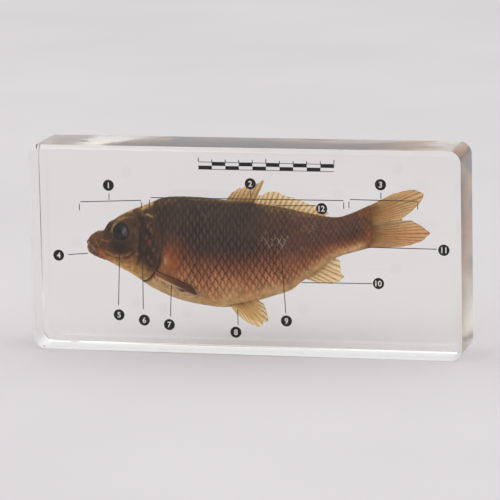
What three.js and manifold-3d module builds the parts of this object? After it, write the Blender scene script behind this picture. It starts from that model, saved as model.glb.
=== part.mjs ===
// A carp cast in a clear acrylic block. The block was poured in two layers, with a clear printed film
// laid between them in front of the fish. Millimetres, +Z up: the origin is the middle of the block's
// underside, X runs along the block with the carp's head towards -X, and the front face looks to -Y.
import * as THREE from "three";
import { mergeVertices } from "three/addons/utils/BufferGeometryUtils.js";
import Module from "manifold-3d";

const wasm = await Module();
wasm.setup();

// Block: outer size, rounded corners of its front outline, bevel along the front and back edges
const BLOCK_LENGTH = 160;
const BLOCK_DEPTH = 25;
const BLOCK_HEIGHT = 76;
const BLOCK_CORNER_RADIUS = 4.5;
const BLOCK_CORNER_STEPS = 5;
const BLOCK_EDGE_BEVEL = 1.5;

// Plane where the front pour meets the back pour, just clear of the carp's near flank
const PARTING_Y = -8.25;

// Label film, in a shallow recess of the front pour
const FILM_LENGTH = 152;
const FILM_HEIGHT = 70;
const FILM_THICKNESS = 0.25;
const FILM_CLEARANCE = 0.3;
const FILM_MIDDLE_Z = 38.5;

// Carp: its frame starts at the snout, at the level of the mouth, in the fish's own mid plane
const SNOUT_IN_BLOCK = new THREE.Vector3(-60.3, 0.8, 38.5);
const POCKET_CLEARANCE = 0.8;

// Body sections from snout to tail root: [distance behind the snout, back, belly, half width]
const BODY_SECTIONS = [
  [0, 1.0, -1.8, 1.7],
  [1.6, 2.9, -4.0, 3.0],
  [4, 4.5, -5.0, 3.9],
  [5.6, 4.9, -5.5, 4.3],
  [8.8, 7.7, -6.8, 5.1],
  [13.4, 10.9, -9.1, 6.2],
  [18, 13.0, -11.5, 7.0],
  [23, 14.9, -15.0, 7.7],
  [29.5, 17.3, -18.0, 8.4],
  [36, 17.8, -20.1, 8.8],
  [45, 17.6, -21.7, 8.8],
  [52, 17.0, -22.3, 8.4],
  [60, 16.3, -20.7, 7.7],
  [69, 15.3, -17.8, 6.7],
  [76.5, 14.1, -15.2, 5.6],
  [79.5, 13.4, -12.8, 5.2],
  [85.5, 12.3, -8.3, 4.4],
  [90, 11.6, -4.7, 3.7],
  [94.5, 11.6, -2.2, 3.1],
  [99, 13.2, -0.8, 2.5],
  [105.5, 16.3, 0.9, 1.0],
];
const SNOUT_DOME = 0.4;
const TAIL_ROOT_DOME = 1.6;
const FLANK_FULLNESS = 2.3;

// Scales start behind the gill covers and are a quilted relief; the rings of skin crowd at the snout
const SCALES_START = 29;
const SCALE_COLUMNS = 18;
const SCALE_LIFT = 0.22;
const SNOUT_CROWDING = 1.35;
const BODY_HEAD_STEPS = 12;
const BODY_RING_STEPS = 32;
const POCKET_HEAD_STEPS = 9;
const POCKET_FLANK_STEPS = 16;
const POCKET_RING_STEPS = 20;

// Gill covers: rear edge on an ellipse, front edge a shallow curve, raised from the head
const GILL_CENTRE = [18, 3.5];
const GILL_RADII = [11.5, 13.5];
const GILL_SWEEP = THREE.MathUtils.degToRad(72);
const GILL_FRONT_BULGE = 20;
const GILL_STEPS = 12;
const GILL_LIFT = 0.45;

// Eyes: flattened balls, half sunk in the head
const EYE_CENTRE = [13.9, 5.5];
const EYE_RADIUS = 3.4;
const EYE_FLATNESS = 0.5;
const EYE_SINK = 0.6;
const EYE_STEPS = [14, 8];
const POCKET_EYE_STEPS = [10, 6];

// Mouth: a wedge-shaped gap between the lips, as [distance, height] points
const MOUTH_GAP = [[-1.5, 0.7], [0.8, 0.1], [2.2, -1.2], [4.2, -2.9], [1.9, -1.9], [0.5, -1.1], [-1.5, -0.7]];

// Fins: root line sunk in the body and free edge, as [distance, height] points, the number of rays, the
// steps along each ray, and half thicknesses. Seen from the front, the free edge lies to the left of the
// root's direction. The pectoral fins lie folded on the flanks, so they are thick enough to sink in.
const FREE_FIN = { rayRoot: 0.5, rayTip: 0.25, webRoot: 0.3, webTip: 0.15 };
const FOLDED_FIN = { rayRoot: 0.55, rayTip: 0.5, webRoot: 0.45, webTip: 0.4 };
const DORSAL_FRONT = {
  root: [[51.6, 15.6], [57, 15.2], [62.4, 14.6]],
  edge: [[55, 19.9], [59.1, 22.2], [63.2, 23.2], [67.6, 24.8]],
  rays: 6,
  rows: 1,
  half: FREE_FIN,
};
const DORSAL_REAR = {
  root: [[62, 14.6], [75, 12.8], [87.5, 10.8]],
  edge: [[64.4, 18.7], [70.4, 20.7], [76, 18.8], [82.7, 16.8], [88.6, 15.1], [91.1, 13]],
  rays: 13,
  rows: 1,
  half: FREE_FIN,
};
const TAIL = {
  root: [[103.2, 14.4], [104, 8.5], [104, 2.2]],
  edge: [
    [114, 20.5], [118.4, 21.7], [121.3, 22.1], [123.8, 21.1], [124.5, 18.9], [120.9, 14.5], [117.5, 11.3],
    [121.2, 10.8], [125.5, 8.4], [127.7, 6.4], [125.5, 4.2], [121.8, 2.5], [116, 1.2], [110.5, 0.9],
  ],
  rays: 20,
  rows: 1,
  half: FREE_FIN,
};
const ANAL = {
  root: [[90.6, -2.8], [85.2, -6.8], [80, -10.8]],
  edge: [[93.6, -3.6], [94.9, -5.5], [94.5, -8.2], [96.1, -10], [92.7, -12.4], [86.5, -12.8]],
  rays: 7,
  rows: 1,
  half: FREE_FIN,
};
const PELVIC = {
  root: [[61, -19], [57, -19.6], [53, -20.2]],
  edge: [[65, -20.6], [66.4, -24], [66.7, -27], [66, -28.7], [63.6, -28.8], [60, -27.1], [56.4, -24.6]],
  rays: 8,
  rows: 1,
  half: FREE_FIN,
};
const PECTORAL = {
  root: [[26.6, -8.4], [27, -9.4], [27.2, -10.6]],
  edge: [[38.1, -12.6], [41.4, -14.2], [42.4, -15.6], [41.7, -16.9], [38.5, -15.4]],
  rays: 6,
  rows: 3,
  half: FOLDED_FIN,
};
const PELVIC_SPREAD = { insetY: 2.4, slope: 0.3, rootZ: -19 };
const PECTORAL_STANDOFF = 0.1;

const VERTEX_MERGE = 1e-4;
const OVERCUT = 20;

/** Cubic through the body sections: back, belly and half width at a distance behind the snout. */
function sectionAt(distance) {
  const last = BODY_SECTIONS.length - 1;
  let i = 0;
  while (i < last - 1 && distance > BODY_SECTIONS[i + 1][0]) i += 1;
  const here = BODY_SECTIONS[i];
  const next = BODY_SECTIONS[i + 1];
  const before = BODY_SECTIONS[Math.max(i - 1, 0)];
  const after = BODY_SECTIONS[Math.min(i + 2, last)];
  const step = next[0] - here[0];
  const t = THREE.MathUtils.clamp((distance - here[0]) / step, 0, 1);
  const [back, belly, halfWidth] = [1, 2, 3].map((k) => {
    const slopeHere = ((next[k] - before[k]) / (next[0] - before[0])) * step;
    const slopeNext = ((after[k] - here[k]) / (after[0] - here[0])) * step;
    const bend = 2 * (here[k] - next[k]) + slopeHere + slopeNext;
    const lean = 3 * (next[k] - here[k]) - 2 * slopeHere - slopeNext;
    return here[k] + t * (slopeHere + t * (lean + t * bend));
  });
  return { middle: (back + belly) / 2, halfHeight: (back - belly) / 2, halfWidth };
}

/** Half width of the body at a distance behind the snout and a height above the mouth. */
function flankAt(distance, height) {
  const { middle, halfHeight, halfWidth } = sectionAt(distance);
  const rise = Math.min(Math.abs((height - middle) / halfHeight), 1);
  return halfWidth * (1 - rise ** FLANK_FULLNESS) ** (1 / FLANK_FULLNESS);
}

/** Closed solid from a geometry whose coincident corners are joined. */
function toSolid(geometry) {
  const bare = geometry.clone();
  bare.deleteAttribute("normal");
  bare.deleteAttribute("uv");
  const shell = mergeVertices(bare, VERTEX_MERGE);
  return new wasm.Manifold(
    new wasm.Mesh({
      numProp: 3,
      vertProperties: new Float32Array(shell.attributes.position.array),
      triVerts: new Uint32Array(shell.index.array),
    }),
  );
}

/** Geometry of a solid. */
function toGeometry(solid) {
  const { vertProperties, triVerts } = solid.getMesh();
  return indexedGeometry(vertProperties, triVerts);
}

/** Geometry from flat lists of coordinates and triangle corners. */
function indexedGeometry(coordinates, corners) {
  const geometry = new THREE.BufferGeometry();
  geometry.setAttribute("position", new THREE.BufferAttribute(new Float32Array(coordinates), 3));
  geometry.setIndex(new THREE.BufferAttribute(new Uint32Array(corners), 1));
  geometry.computeVertexNormals();
  return geometry;
}

/** Outline in the plane of distance and height, pushed right through the fish from side to side. */
function acrossFish(outline) {
  const shape = new THREE.Shape(outline.map(([distance, height]) => new THREE.Vector2(distance, height)));
  const prism = new THREE.ExtrudeGeometry(shape, { depth: 2 * OVERCUT, bevelEnabled: false });
  prism.translate(0, 0, -OVERCUT);
  prism.rotateX(Math.PI / 2);
  return toSolid(prism);
}

/** Distances of the rings along the body, close together at the snout. */
function bodyStations(headSteps, flankSteps) {
  const end = BODY_SECTIONS[BODY_SECTIONS.length - 1][0];
  const stations = [];
  for (let i = 0; i < headSteps; i += 1) {
    stations.push(SCALES_START * (i / headSteps) ** SNOUT_CROWDING);
  }
  for (let i = 0; i <= flankSteps; i += 1) {
    stations.push(SCALES_START + ((end - SCALES_START) * i) / flankSteps);
  }
  return stations;
}

/** Body without fins. grow pushes the skin out; scaleLift raises every other point as a scale. */
function bodySolid(stations, ringSteps, grow, scaleLift) {
  const coordinates = [];
  const corners = [];
  const power = 2 / FLANK_FULLNESS;
  stations.forEach((distance, i) => {
    const { middle, halfHeight, halfWidth } = sectionAt(distance);
    for (let k = 0; k < ringSteps; k += 1) {
      const turn = (2 * Math.PI * k) / ringSteps;
      const isScale = distance > SCALES_START && (i + k) % 2 === 0;
      const out = grow + (isScale ? scaleLift : 0);
      const across = Math.sign(Math.cos(turn)) * Math.abs(Math.cos(turn)) ** power;
      const up = Math.sign(Math.sin(turn)) * Math.abs(Math.sin(turn)) ** power;
      coordinates.push(distance, (halfWidth + out) * across, middle + (halfHeight + out) * up);
    }
  });
  const rings = stations.length;
  const at = (i, k) => i * ringSteps + (k % ringSteps);
  for (let i = 0; i < rings - 1; i += 1) {
    for (let k = 0; k < ringSteps; k += 1) {
      corners.push(at(i, k), at(i + 1, k + 1), at(i + 1, k));
      corners.push(at(i, k), at(i, k + 1), at(i + 1, k + 1));
    }
  }
  const snoutTip = rings * ringSteps;
  const tailTip = snoutTip + 1;
  const first = stations[0];
  const last = stations[rings - 1];
  coordinates.push(first - SNOUT_DOME - grow, 0, sectionAt(first).middle);
  coordinates.push(last + TAIL_ROOT_DOME + grow, 0, sectionAt(last).middle);
  for (let k = 0; k < ringSteps; k += 1) {
    corners.push(snoutTip, at(0, k + 1), at(0, k));
    corners.push(tailTip, at(rings - 1, k), at(rings - 1, k + 1));
  }
  return toSolid(indexedGeometry(coordinates, corners));
}

/**
 * Fin as a corrugated plate, thick along its rays and thin in the web between them. sideways gives
 * its mid plane's y at a distance and height; grow pushes its edges and faces out, and a grown fin has
 * no separate rays.
 */
function finSolid(fin, sideways, grow) {
  const root = new THREE.SplineCurve(fin.root.map(([x, z]) => new THREE.Vector2(x, z)));
  const edge = new THREE.SplineCurve(fin.edge.map(([x, z]) => new THREE.Vector2(x, z)));
  const columns = grow > 0 ? fin.rays : 2 * fin.rays;
  const rows = fin.rows;
  const alongRoot = root.getPoint(1).sub(root.getPoint(0));
  const coordinates = [];
  const corners = [];
  for (const face of [-1, 1]) {
    for (let c = 0; c <= columns; c += 1) {
      const from = root.getPointAt(c / columns);
      const to = edge.getPointAt(c / columns);
      const ray = to.clone().sub(from).normalize();
      const outward = new THREE.Vector2(-ray.y, ray.x);
      const endSign = c === 0 ? -1 : Number(c === columns);
      outward.multiplyScalar(endSign * Math.sign(outward.dot(alongRoot)) * grow);
      from.add(outward);
      to.add(outward).addScaledVector(ray, grow);
      const isRay = grow > 0 || c % 2 === 1;
      const thickRoot = isRay ? fin.half.rayRoot : fin.half.webRoot;
      const thickTip = isRay ? fin.half.rayTip : fin.half.webTip;
      for (let r = 0; r <= rows; r += 1) {
        const point = from.clone().lerp(to, r / rows);
        const half = THREE.MathUtils.lerp(thickRoot, thickTip, r / rows) + grow;
        coordinates.push(point.x, sideways(point.x, point.y) + face * half, point.y);
      }
    }
  }
  const rowCount = rows + 1;
  const backStart = (columns + 1) * rowCount;
  const front = (c, r) => c * rowCount + r;
  const back = (c, r) => backStart + front(c, r);
  const quad = (a, b, c, d) => corners.push(a, b, c, a, c, d);
  for (let c = 0; c < columns; c += 1) {
    for (let r = 0; r < rows; r += 1) {
      quad(front(c, r), front(c + 1, r), front(c + 1, r + 1), front(c, r + 1));
      quad(back(c, r), back(c, r + 1), back(c + 1, r + 1), back(c + 1, r));
    }
    quad(front(c, 0), back(c, 0), back(c + 1, 0), front(c + 1, 0));
    quad(front(c, rows), front(c + 1, rows), back(c + 1, rows), back(c, rows));
  }
  for (let r = 0; r < rows; r += 1) {
    quad(front(0, r), front(0, r + 1), back(0, r + 1), back(0, r));
    quad(front(columns, r), back(columns, r), back(columns, r + 1), front(columns, r + 1));
  }
  return toSolid(indexedGeometry(coordinates, corners));
}

/** All seven fins: dorsal in its two torn parts, tail and anal, then the pelvic and pectoral pairs. */
function finSolids(grow) {
  const onMidPlane = [DORSAL_FRONT, DORSAL_REAR, TAIL, ANAL].map((fin) => finSolid(fin, () => 0, grow));
  const pairs = [-1, 1].flatMap((side) => {
    const pelvicY = (x, z) => side * (PELVIC_SPREAD.insetY + PELVIC_SPREAD.slope * (PELVIC_SPREAD.rootZ - z));
    const pectoralY = (x, z) => side * (flankAt(x, z) + PECTORAL_STANDOFF);
    return [finSolid(PELVIC, pelvicY, grow), finSolid(PECTORAL, pectoralY, grow)];
  });
  return [...onMidPlane, ...pairs];
}

/** Both eyes, as balls of so many steps around and down. */
function eyeSolids(steps, grow) {
  const [distance, height] = EYE_CENTRE;
  return [-1, 1].map((side) => {
    const ball = new THREE.SphereGeometry(EYE_RADIUS + grow, ...steps);
    ball.scale(1, EYE_FLATNESS, 1);
    ball.translate(distance, side * (flankAt(distance, height) - EYE_SINK), height);
    return toSolid(ball);
  });
}

/** Raised plates of both gill covers: a thicker skin inside the covers' outline. */
function gillCovers() {
  const [distance, height] = GILL_CENTRE;
  const rear = new THREE.EllipseCurve(distance, height, ...GILL_RADII, -GILL_SWEEP, GILL_SWEEP);
  const rearEdge = rear.getPoints(GILL_STEPS);
  const frontEdge = new THREE.QuadraticBezierCurve(
    rearEdge[GILL_STEPS],
    new THREE.Vector2(GILL_FRONT_BULGE, height),
    rearEdge[0],
  );
  const outline = [...rearEdge, ...frontEdge.getPoints(GILL_STEPS / 2).slice(1, -1)];
  const skin = bodySolid(bodyStations(BODY_HEAD_STEPS, SCALE_COLUMNS), BODY_RING_STEPS, GILL_LIFT, 0);
  return skin.intersect(acrossFish(outline.map((point) => [point.x, point.y])));
}

/** The whole fish as one solid, in its own frame. */
function carpSolid() {
  const stations = bodyStations(BODY_HEAD_STEPS, 2 * SCALE_COLUMNS);
  const body = bodySolid(stations, BODY_RING_STEPS, 0, SCALE_LIFT);
  const grown = [gillCovers(), ...eyeSolids(EYE_STEPS, 0), ...finSolids(0)];
  const whole = grown.reduce((fish, piece) => fish.add(piece), body);
  return whole.subtract(acrossFish(MOUTH_GAP));
}

/** The space that the resin leaves around the fish, in the block's frame. */
function pocketSolid() {
  const stations = bodyStations(POCKET_HEAD_STEPS, POCKET_FLANK_STEPS);
  const body = bodySolid(stations, POCKET_RING_STEPS, POCKET_CLEARANCE, 0);
  const grown = [...eyeSolids(POCKET_EYE_STEPS, POCKET_CLEARANCE), ...finSolids(POCKET_CLEARANCE)];
  const pocket = toGeometry(grown.reduce((space, piece) => space.add(piece), body));
  pocket.translate(SNOUT_IN_BLOCK.x, SNOUT_IN_BLOCK.y, SNOUT_IN_BLOCK.z);
  return toSolid(pocket);
}

/** The block's outer form: a rounded rectangle, bevelled along its front and back edges. */
function blockSolid() {
  const right = BLOCK_LENGTH / 2 - BLOCK_CORNER_RADIUS;
  const top = BLOCK_HEIGHT - BLOCK_CORNER_RADIUS;
  const bottom = BLOCK_CORNER_RADIUS;
  const quarter = Math.PI / 2;
  const outline = new THREE.Shape();
  outline.absarc(right, bottom, BLOCK_CORNER_RADIUS, -quarter, 0);
  outline.absarc(right, top, BLOCK_CORNER_RADIUS, 0, quarter);
  outline.absarc(-right, top, BLOCK_CORNER_RADIUS, quarter, 2 * quarter);
  outline.absarc(-right, bottom, BLOCK_CORNER_RADIUS, 2 * quarter, 3 * quarter);
  const straightDepth = BLOCK_DEPTH - 2 * BLOCK_EDGE_BEVEL;
  const block = new THREE.ExtrudeGeometry(outline, {
    depth: straightDepth,
    curveSegments: BLOCK_CORNER_STEPS,
    bevelThickness: BLOCK_EDGE_BEVEL,
    bevelSize: BLOCK_EDGE_BEVEL,
    bevelOffset: -BLOCK_EDGE_BEVEL,
    bevelSegments: 1,
  });
  block.rotateX(quarter);
  block.translate(0, straightDepth / 2, 0);
  return toSolid(block);
}

/** Everything in front of the parting plane. */
function frontOfParting() {
  const space = new THREE.BoxGeometry(BLOCK_LENGTH + OVERCUT, BLOCK_DEPTH, BLOCK_HEIGHT + OVERCUT);
  space.translate(0, PARTING_Y - BLOCK_DEPTH / 2, BLOCK_HEIGHT / 2);
  return toSolid(space);
}

/** Shallow recess for the label film, open towards the carp. */
function filmRecess() {
  const depth = FILM_THICKNESS + 2 * FILM_CLEARANCE;
  const recess = new THREE.BoxGeometry(
    FILM_LENGTH + 2 * FILM_CLEARANCE,
    2 * depth,
    FILM_HEIGHT + 2 * FILM_CLEARANCE,
  );
  recess.translate(0, PARTING_Y, FILM_MIDDLE_Z);
  return toSolid(recess);
}

/** Named mesh with its own finish. */
function namedMesh(name, geometry, finish) {
  const mesh = new THREE.Mesh(geometry, new THREE.MeshStandardMaterial(finish));
  mesh.name = name;
  return mesh;
}

const CLEAR_ACRYLIC = { color: 0xeef0ea, roughness: 0.05, metalness: 0, transparent: true, opacity: 0.18 };
const CLEAR_FILM = { color: 0xf4f4f0, roughness: 0.1, metalness: 0, transparent: true, opacity: 0.08 };
const CARP_SKIN = { color: 0x7a4f35, roughness: 0.45, metalness: 0 };

const block = blockSolid();
const backPour = block.subtract(frontOfParting()).subtract(pocketSolid());
const frontPour = block.intersect(frontOfParting()).subtract(filmRecess());

const specimen = new THREE.Group();
specimen.name = "carp_in_acrylic_block";
specimen.add(namedMesh("block_back", toGeometry(backPour), CLEAR_ACRYLIC));
specimen.add(namedMesh("block_front", toGeometry(frontPour), CLEAR_ACRYLIC));

const filmSheet = new THREE.BoxGeometry(FILM_LENGTH, FILM_THICKNESS, FILM_HEIGHT);
const film = namedMesh("label_film", filmSheet, CLEAR_FILM);
film.position.set(0, PARTING_Y - FILM_CLEARANCE - FILM_THICKNESS / 2, FILM_MIDDLE_Z);
specimen.add(film);

const carp = namedMesh("carp", toGeometry(carpSolid()), CARP_SKIN);
carp.position.copy(SNOUT_IN_BLOCK);
specimen.add(carp);

export default specimen;
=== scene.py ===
"""Looks of a young carp cast in a clear acrylic block.

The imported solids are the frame: two clear pours, a printed film and the carp. This file replaces them
with one clear block, the dressed fish and the film's print, and adds a plain studio. Sizes are in
millimetres. The fish has a frame of its own: distance behind the snout, sideways, height above the mouth.
"""

import logging
import math
from collections.abc import Sequence
from dataclasses import dataclass, field, replace
from enum import Enum

import bpy
import numpy as np
from mathutils import Matrix, Vector


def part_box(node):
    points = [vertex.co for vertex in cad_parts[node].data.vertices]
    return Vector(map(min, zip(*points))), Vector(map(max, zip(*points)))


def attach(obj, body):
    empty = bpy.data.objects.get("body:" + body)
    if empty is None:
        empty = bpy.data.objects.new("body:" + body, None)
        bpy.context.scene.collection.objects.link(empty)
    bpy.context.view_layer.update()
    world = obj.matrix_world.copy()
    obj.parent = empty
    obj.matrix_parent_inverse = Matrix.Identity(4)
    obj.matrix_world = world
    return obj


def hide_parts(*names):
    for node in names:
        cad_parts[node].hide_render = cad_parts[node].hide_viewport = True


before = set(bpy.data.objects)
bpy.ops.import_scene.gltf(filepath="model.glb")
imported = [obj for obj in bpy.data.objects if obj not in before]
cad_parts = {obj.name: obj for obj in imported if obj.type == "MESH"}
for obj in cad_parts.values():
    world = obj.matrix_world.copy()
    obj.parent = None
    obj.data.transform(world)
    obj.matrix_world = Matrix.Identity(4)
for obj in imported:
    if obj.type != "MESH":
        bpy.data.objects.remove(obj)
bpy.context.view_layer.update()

MM = 0.001
BODY = "root"
LOG = logging.getLogger("carp_block")

Point = tuple[float, float]
Point3 = tuple[float, float, float]
Stops = tuple[tuple[float, str], ...]
Slab = tuple[np.ndarray, list[list[int]]]


def linear(hex_colour: str) -> tuple[float, float, float, float]:
    """Turn an sRGB hex colour into linear light.

    Args:
        hex_colour: Colour as "#rrggbb".

    Returns:
        Red, green, blue and an alpha of 1.
    """
    shares = [int(hex_colour[i : i + 2], 16) / 255 for i in (1, 3, 5)]
    light = [s / 12.92 if s <= 0.04045 else ((s + 0.055) / 1.055) ** 2.4 for s in shares]
    return (*light, 1.0)


def add_node(
    tree: bpy.types.NodeTree,
    kind: str,
    inputs: dict[str | int, object] | None = None,
    stops: Stops = (),
    **settings: object,
) -> bpy.types.Node:
    """Add one shader node with its settings and links.

    Args:
        tree: Node tree that takes the node.
        kind: Blender's name for the node type.
        inputs: Value, or output socket to link, by input name or number.
        stops: Colour ramp stops as (place, hex colour).
        **settings: Attributes of the node itself.

    Returns:
        The new node.
    """
    made = tree.nodes.new(kind)
    for name, value in settings.items():
        setattr(made, name, value)
    for place, value in (inputs or {}).items():
        if isinstance(value, bpy.types.NodeSocket):
            tree.links.new(value, made.inputs[place])
        else:
            made.inputs[place].default_value = value
    for i, (place, colour) in enumerate(stops):
        elements = made.color_ramp.elements
        stop = elements[i] if i < 2 else elements.new(place)
        stop.position = place
        stop.color = linear(colour)
    return made


def new_material(name: str) -> tuple[bpy.types.Material, bpy.types.NodeTree, bpy.types.Node]:
    """Start a node material.

    Args:
        name: Name of the real material.

    Returns:
        The material, its emptied node tree and its output node.
    """
    material = bpy.data.materials.new(name)
    material.use_nodes = True
    tree = material.node_tree
    tree.nodes.clear()
    return material, tree, add_node(tree, "ShaderNodeOutputMaterial")


def per_metre(size_mm: float) -> float:
    """Noise scale whose features measure about this many millimetres."""
    return 1 / (size_mm * MM)


@dataclass(frozen=True)
class CastAcrylic:
    """Cast acrylic: glass-clear front and back, satin sawn edges, faintly straw along its length."""

    name: str = "cast_acrylic"
    absorbed: str = "#f3eedd"
    absorbed_per_m: float = 5.5
    ior: float = 1.49
    specular: float = 0.12

    def material(self) -> bpy.types.Material:
        """Build the clear material: plain transmission, with absorption inside and satin edges.

        Returns:
            The material.
        """
        material, tree, out = new_material(self.name)
        satin = add_node(tree, "ShaderNodeAttribute", attribute_name="satin")
        shader = add_node(tree, "ShaderNodeBsdfPrincipled", {
            "Base Color": (1.0, 1.0, 1.0, 1.0),
            "Roughness": satin.outputs["Fac"],
            "IOR": self.ior,
            "Specular IOR Level": self.specular,
            "Transmission Weight": 1.0,
        })
        inside = add_node(tree, "ShaderNodeVolumeAbsorption", {
            "Color": linear(self.absorbed),
            "Density": self.absorbed_per_m,
        })
        tree.links.new(shader.outputs["BSDF"], out.inputs["Surface"])
        tree.links.new(inside.outputs["Volume"], out.inputs["Volume"])
        return material


@dataclass(frozen=True)
class PreservedSkin:
    """Fish skin fixed in spirit and cast in resin, which fills its gloss: it reads matt and deep."""

    name: str
    mottle_mm: float = 2.2
    grain_mm: float = 0.45
    mottle_depth: float = 0.28
    roughness: float = 0.6
    specular: float = 0.03
    bump_mm: float = 0.05
    stain: str = ""

    def material(self) -> bpy.types.Material:
        """Build skin whose painted tint is broken up by mottling and a fine grain.

        Returns:
            The material.
        """
        material, tree, out = new_material(self.name)
        place = add_node(tree, "ShaderNodeTexCoord").outputs["Object"]
        tint = add_node(tree, "ShaderNodeAttribute", attribute_name="tint")
        mottle = add_node(tree, "ShaderNodeTexNoise", {
            "Vector": place, "Scale": per_metre(self.mottle_mm), "Detail": 4.0, "Roughness": 0.6,
        })
        grain = add_node(tree, "ShaderNodeTexNoise", {
            "Vector": place, "Scale": per_metre(self.grain_mm), "Detail": 3.0, "Roughness": 0.65,
        })
        low, high = 1 - self.mottle_depth, 1 + self.mottle_depth
        broad = add_node(tree, "ShaderNodeMapRange", {
            "Value": mottle.outputs["Fac"], "From Min": 0.3, "From Max": 0.7,
            "To Min": low, "To Max": high,
        })
        fine = add_node(tree, "ShaderNodeMapRange", {
            "Value": grain.outputs["Fac"], "From Min": 0.3, "From Max": 0.7,
            "To Min": 0.88, "To Max": 1.12,
        })
        both = add_node(tree, "ShaderNodeMath", {
            0: broad.outputs["Result"], 1: fine.outputs["Result"],
        }, operation="MULTIPLY")
        colour = add_node(tree, "ShaderNodeVectorMath", {
            0: tint.outputs["Color"], 1: both.outputs["Value"],
        }, operation="MULTIPLY")
        wear = add_node(tree, "ShaderNodeMapRange", {
            "Value": grain.outputs["Fac"], "From Min": 0.2, "From Max": 0.8,
            "To Min": self.roughness - 0.1, "To Max": self.roughness + 0.15,
        })
        bump = add_node(tree, "ShaderNodeBump", {
            "Height": grain.outputs["Fac"], "Strength": 0.5, "Distance": self.bump_mm * MM,
        })
        shader = add_node(tree, "ShaderNodeBsdfPrincipled", {
            "Base Color": colour.outputs["Vector"],
            "Roughness": wear.outputs["Result"],
            "Normal": bump.outputs["Normal"],
            "Specular IOR Level": self.specular,
        })
        surface = shader.outputs["BSDF"]
        if self.stain:
            cover = add_node(tree, "ShaderNodeAttribute", attribute_name="cover")
            web = add_node(tree, "ShaderNodeBsdfTransparent", {"Color": linear(self.stain)})
            surface = add_node(tree, "ShaderNodeMixShader", {
                "Fac": cover.outputs["Fac"], 1: web.outputs["BSDF"], 2: surface,
            }).outputs["Shader"]
        tree.links.new(surface, out.inputs["Surface"])
        return material


@dataclass(frozen=True)
class ScreenInk:
    """Screen-printed ink on film: flat and dense, a little uneven where the squeegee left it thin."""

    name: str
    thin: str
    thick: str
    blotch_mm: float = 0.9
    roughness: float = 0.55

    def material(self) -> bpy.types.Material:
        """Build the ink with a faint blotch.

        Returns:
            The material.
        """
        material, tree, out = new_material(self.name)
        place = add_node(tree, "ShaderNodeTexCoord").outputs["Object"]
        blotch = add_node(tree, "ShaderNodeTexNoise", {
            "Vector": place, "Scale": per_metre(self.blotch_mm), "Detail": 2.0,
        })
        tones = add_node(tree, "ShaderNodeValToRGB", {"Fac": blotch.outputs["Fac"]}, (
            (0.35, self.thick), (0.75, self.thin),
        ))
        shader = add_node(tree, "ShaderNodeBsdfPrincipled", {
            "Base Color": tones.outputs["Color"], "Roughness": self.roughness, "Specular IOR Level": 0.02,
        })
        tree.links.new(shader.outputs["BSDF"], out.inputs["Surface"])
        return material


@dataclass(frozen=True)
class StudioPaper:
    """Seamless background paper: pale, matt, with a barely seen fibre."""

    name: str = "studio_paper"
    light: str = "#c2c0c4"
    dark: str = "#bdbbbf"
    cloud_mm: float = 180.0

    def material(self) -> bpy.types.Material:
        """Build the paper.

        Returns:
            The material.
        """
        material, tree, out = new_material(self.name)
        place = add_node(tree, "ShaderNodeTexCoord").outputs["Object"]
        cloud = add_node(tree, "ShaderNodeTexNoise", {
            "Vector": place, "Scale": per_metre(self.cloud_mm), "Detail": 2.0,
        })
        tones = add_node(tree, "ShaderNodeValToRGB", {"Fac": cloud.outputs["Fac"]}, (
            (0.3, self.dark), (0.7, self.light),
        ))
        shader = add_node(tree, "ShaderNodeBsdfPrincipled", {
            "Base Color": tones.outputs["Color"], "Roughness": 0.9, "Specular IOR Level": 0.1,
        })
        tree.links.new(shader.outputs["BSDF"], out.inputs["Surface"])
        return material


def smooth(low: float, high: float, value: np.ndarray) -> np.ndarray:
    """Ease from 0 at low to 1 at high."""
    t = np.clip((value - low) / (high - low), 0, 1)
    return t * t * (3 - 2 * t)


def bell(offset: np.ndarray, width: float) -> np.ndarray:
    """Bell curve of an offset: 1 at no offset, about a third at the width."""
    return np.exp(-((offset / width) ** 2))


def cubic_through(points: Sequence[Sequence[float]], at: np.ndarray) -> np.ndarray:
    """Smooth curve through listed points.

    Args:
        points: Rows of a place and one or more values.
        at: Places to read the curve at.

    Returns:
        The values at those places, in a last axis of their own.
    """
    table = np.asarray(points, float)
    place, value = table[:, 0], table[:, 1:]
    slope = np.empty_like(value)
    slope[1:-1] = (value[2:] - value[:-2]) / (place[2:] - place[:-2])[:, None]
    slope[0] = (value[1] - value[0]) / (place[1] - place[0])
    slope[-1] = (value[-1] - value[-2]) / (place[-1] - place[-2])
    i = np.clip(np.searchsorted(place, at, side="right") - 1, 0, len(place) - 2)
    step = (place[i + 1] - place[i])[..., None]
    t = np.clip((at - place[i])[..., None] / step, 0, 1)
    start, end = value[i], value[i + 1]
    lean_start, lean_end = slope[i] * step, slope[i + 1] * step
    bend = 2 * (start - end) + lean_start + lean_end
    lean = 3 * (end - start) - 2 * lean_start - lean_end
    return start + t * (lean_start + t * (lean + t * bend))


def even_spline(points: Sequence[Point], count: int) -> np.ndarray:
    """Even points along a smooth line through listed points.

    Args:
        points: Points that the line passes.
        count: How many points to give back.

    Returns:
        An array of count points.
    """
    table = np.asarray(points, float)
    number = np.arange(len(table))
    dense = np.linspace(0, len(table) - 1, 40 * len(table))
    line = cubic_through(np.column_stack([number, table]), dense)
    run = np.concatenate([[0], np.cumsum(np.linalg.norm(np.diff(line, axis=0), axis=1))])
    want = np.linspace(0, run[-1], count)
    return np.column_stack([np.interp(want, run, line[:, k]) for k in range(line.shape[1])])


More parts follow.
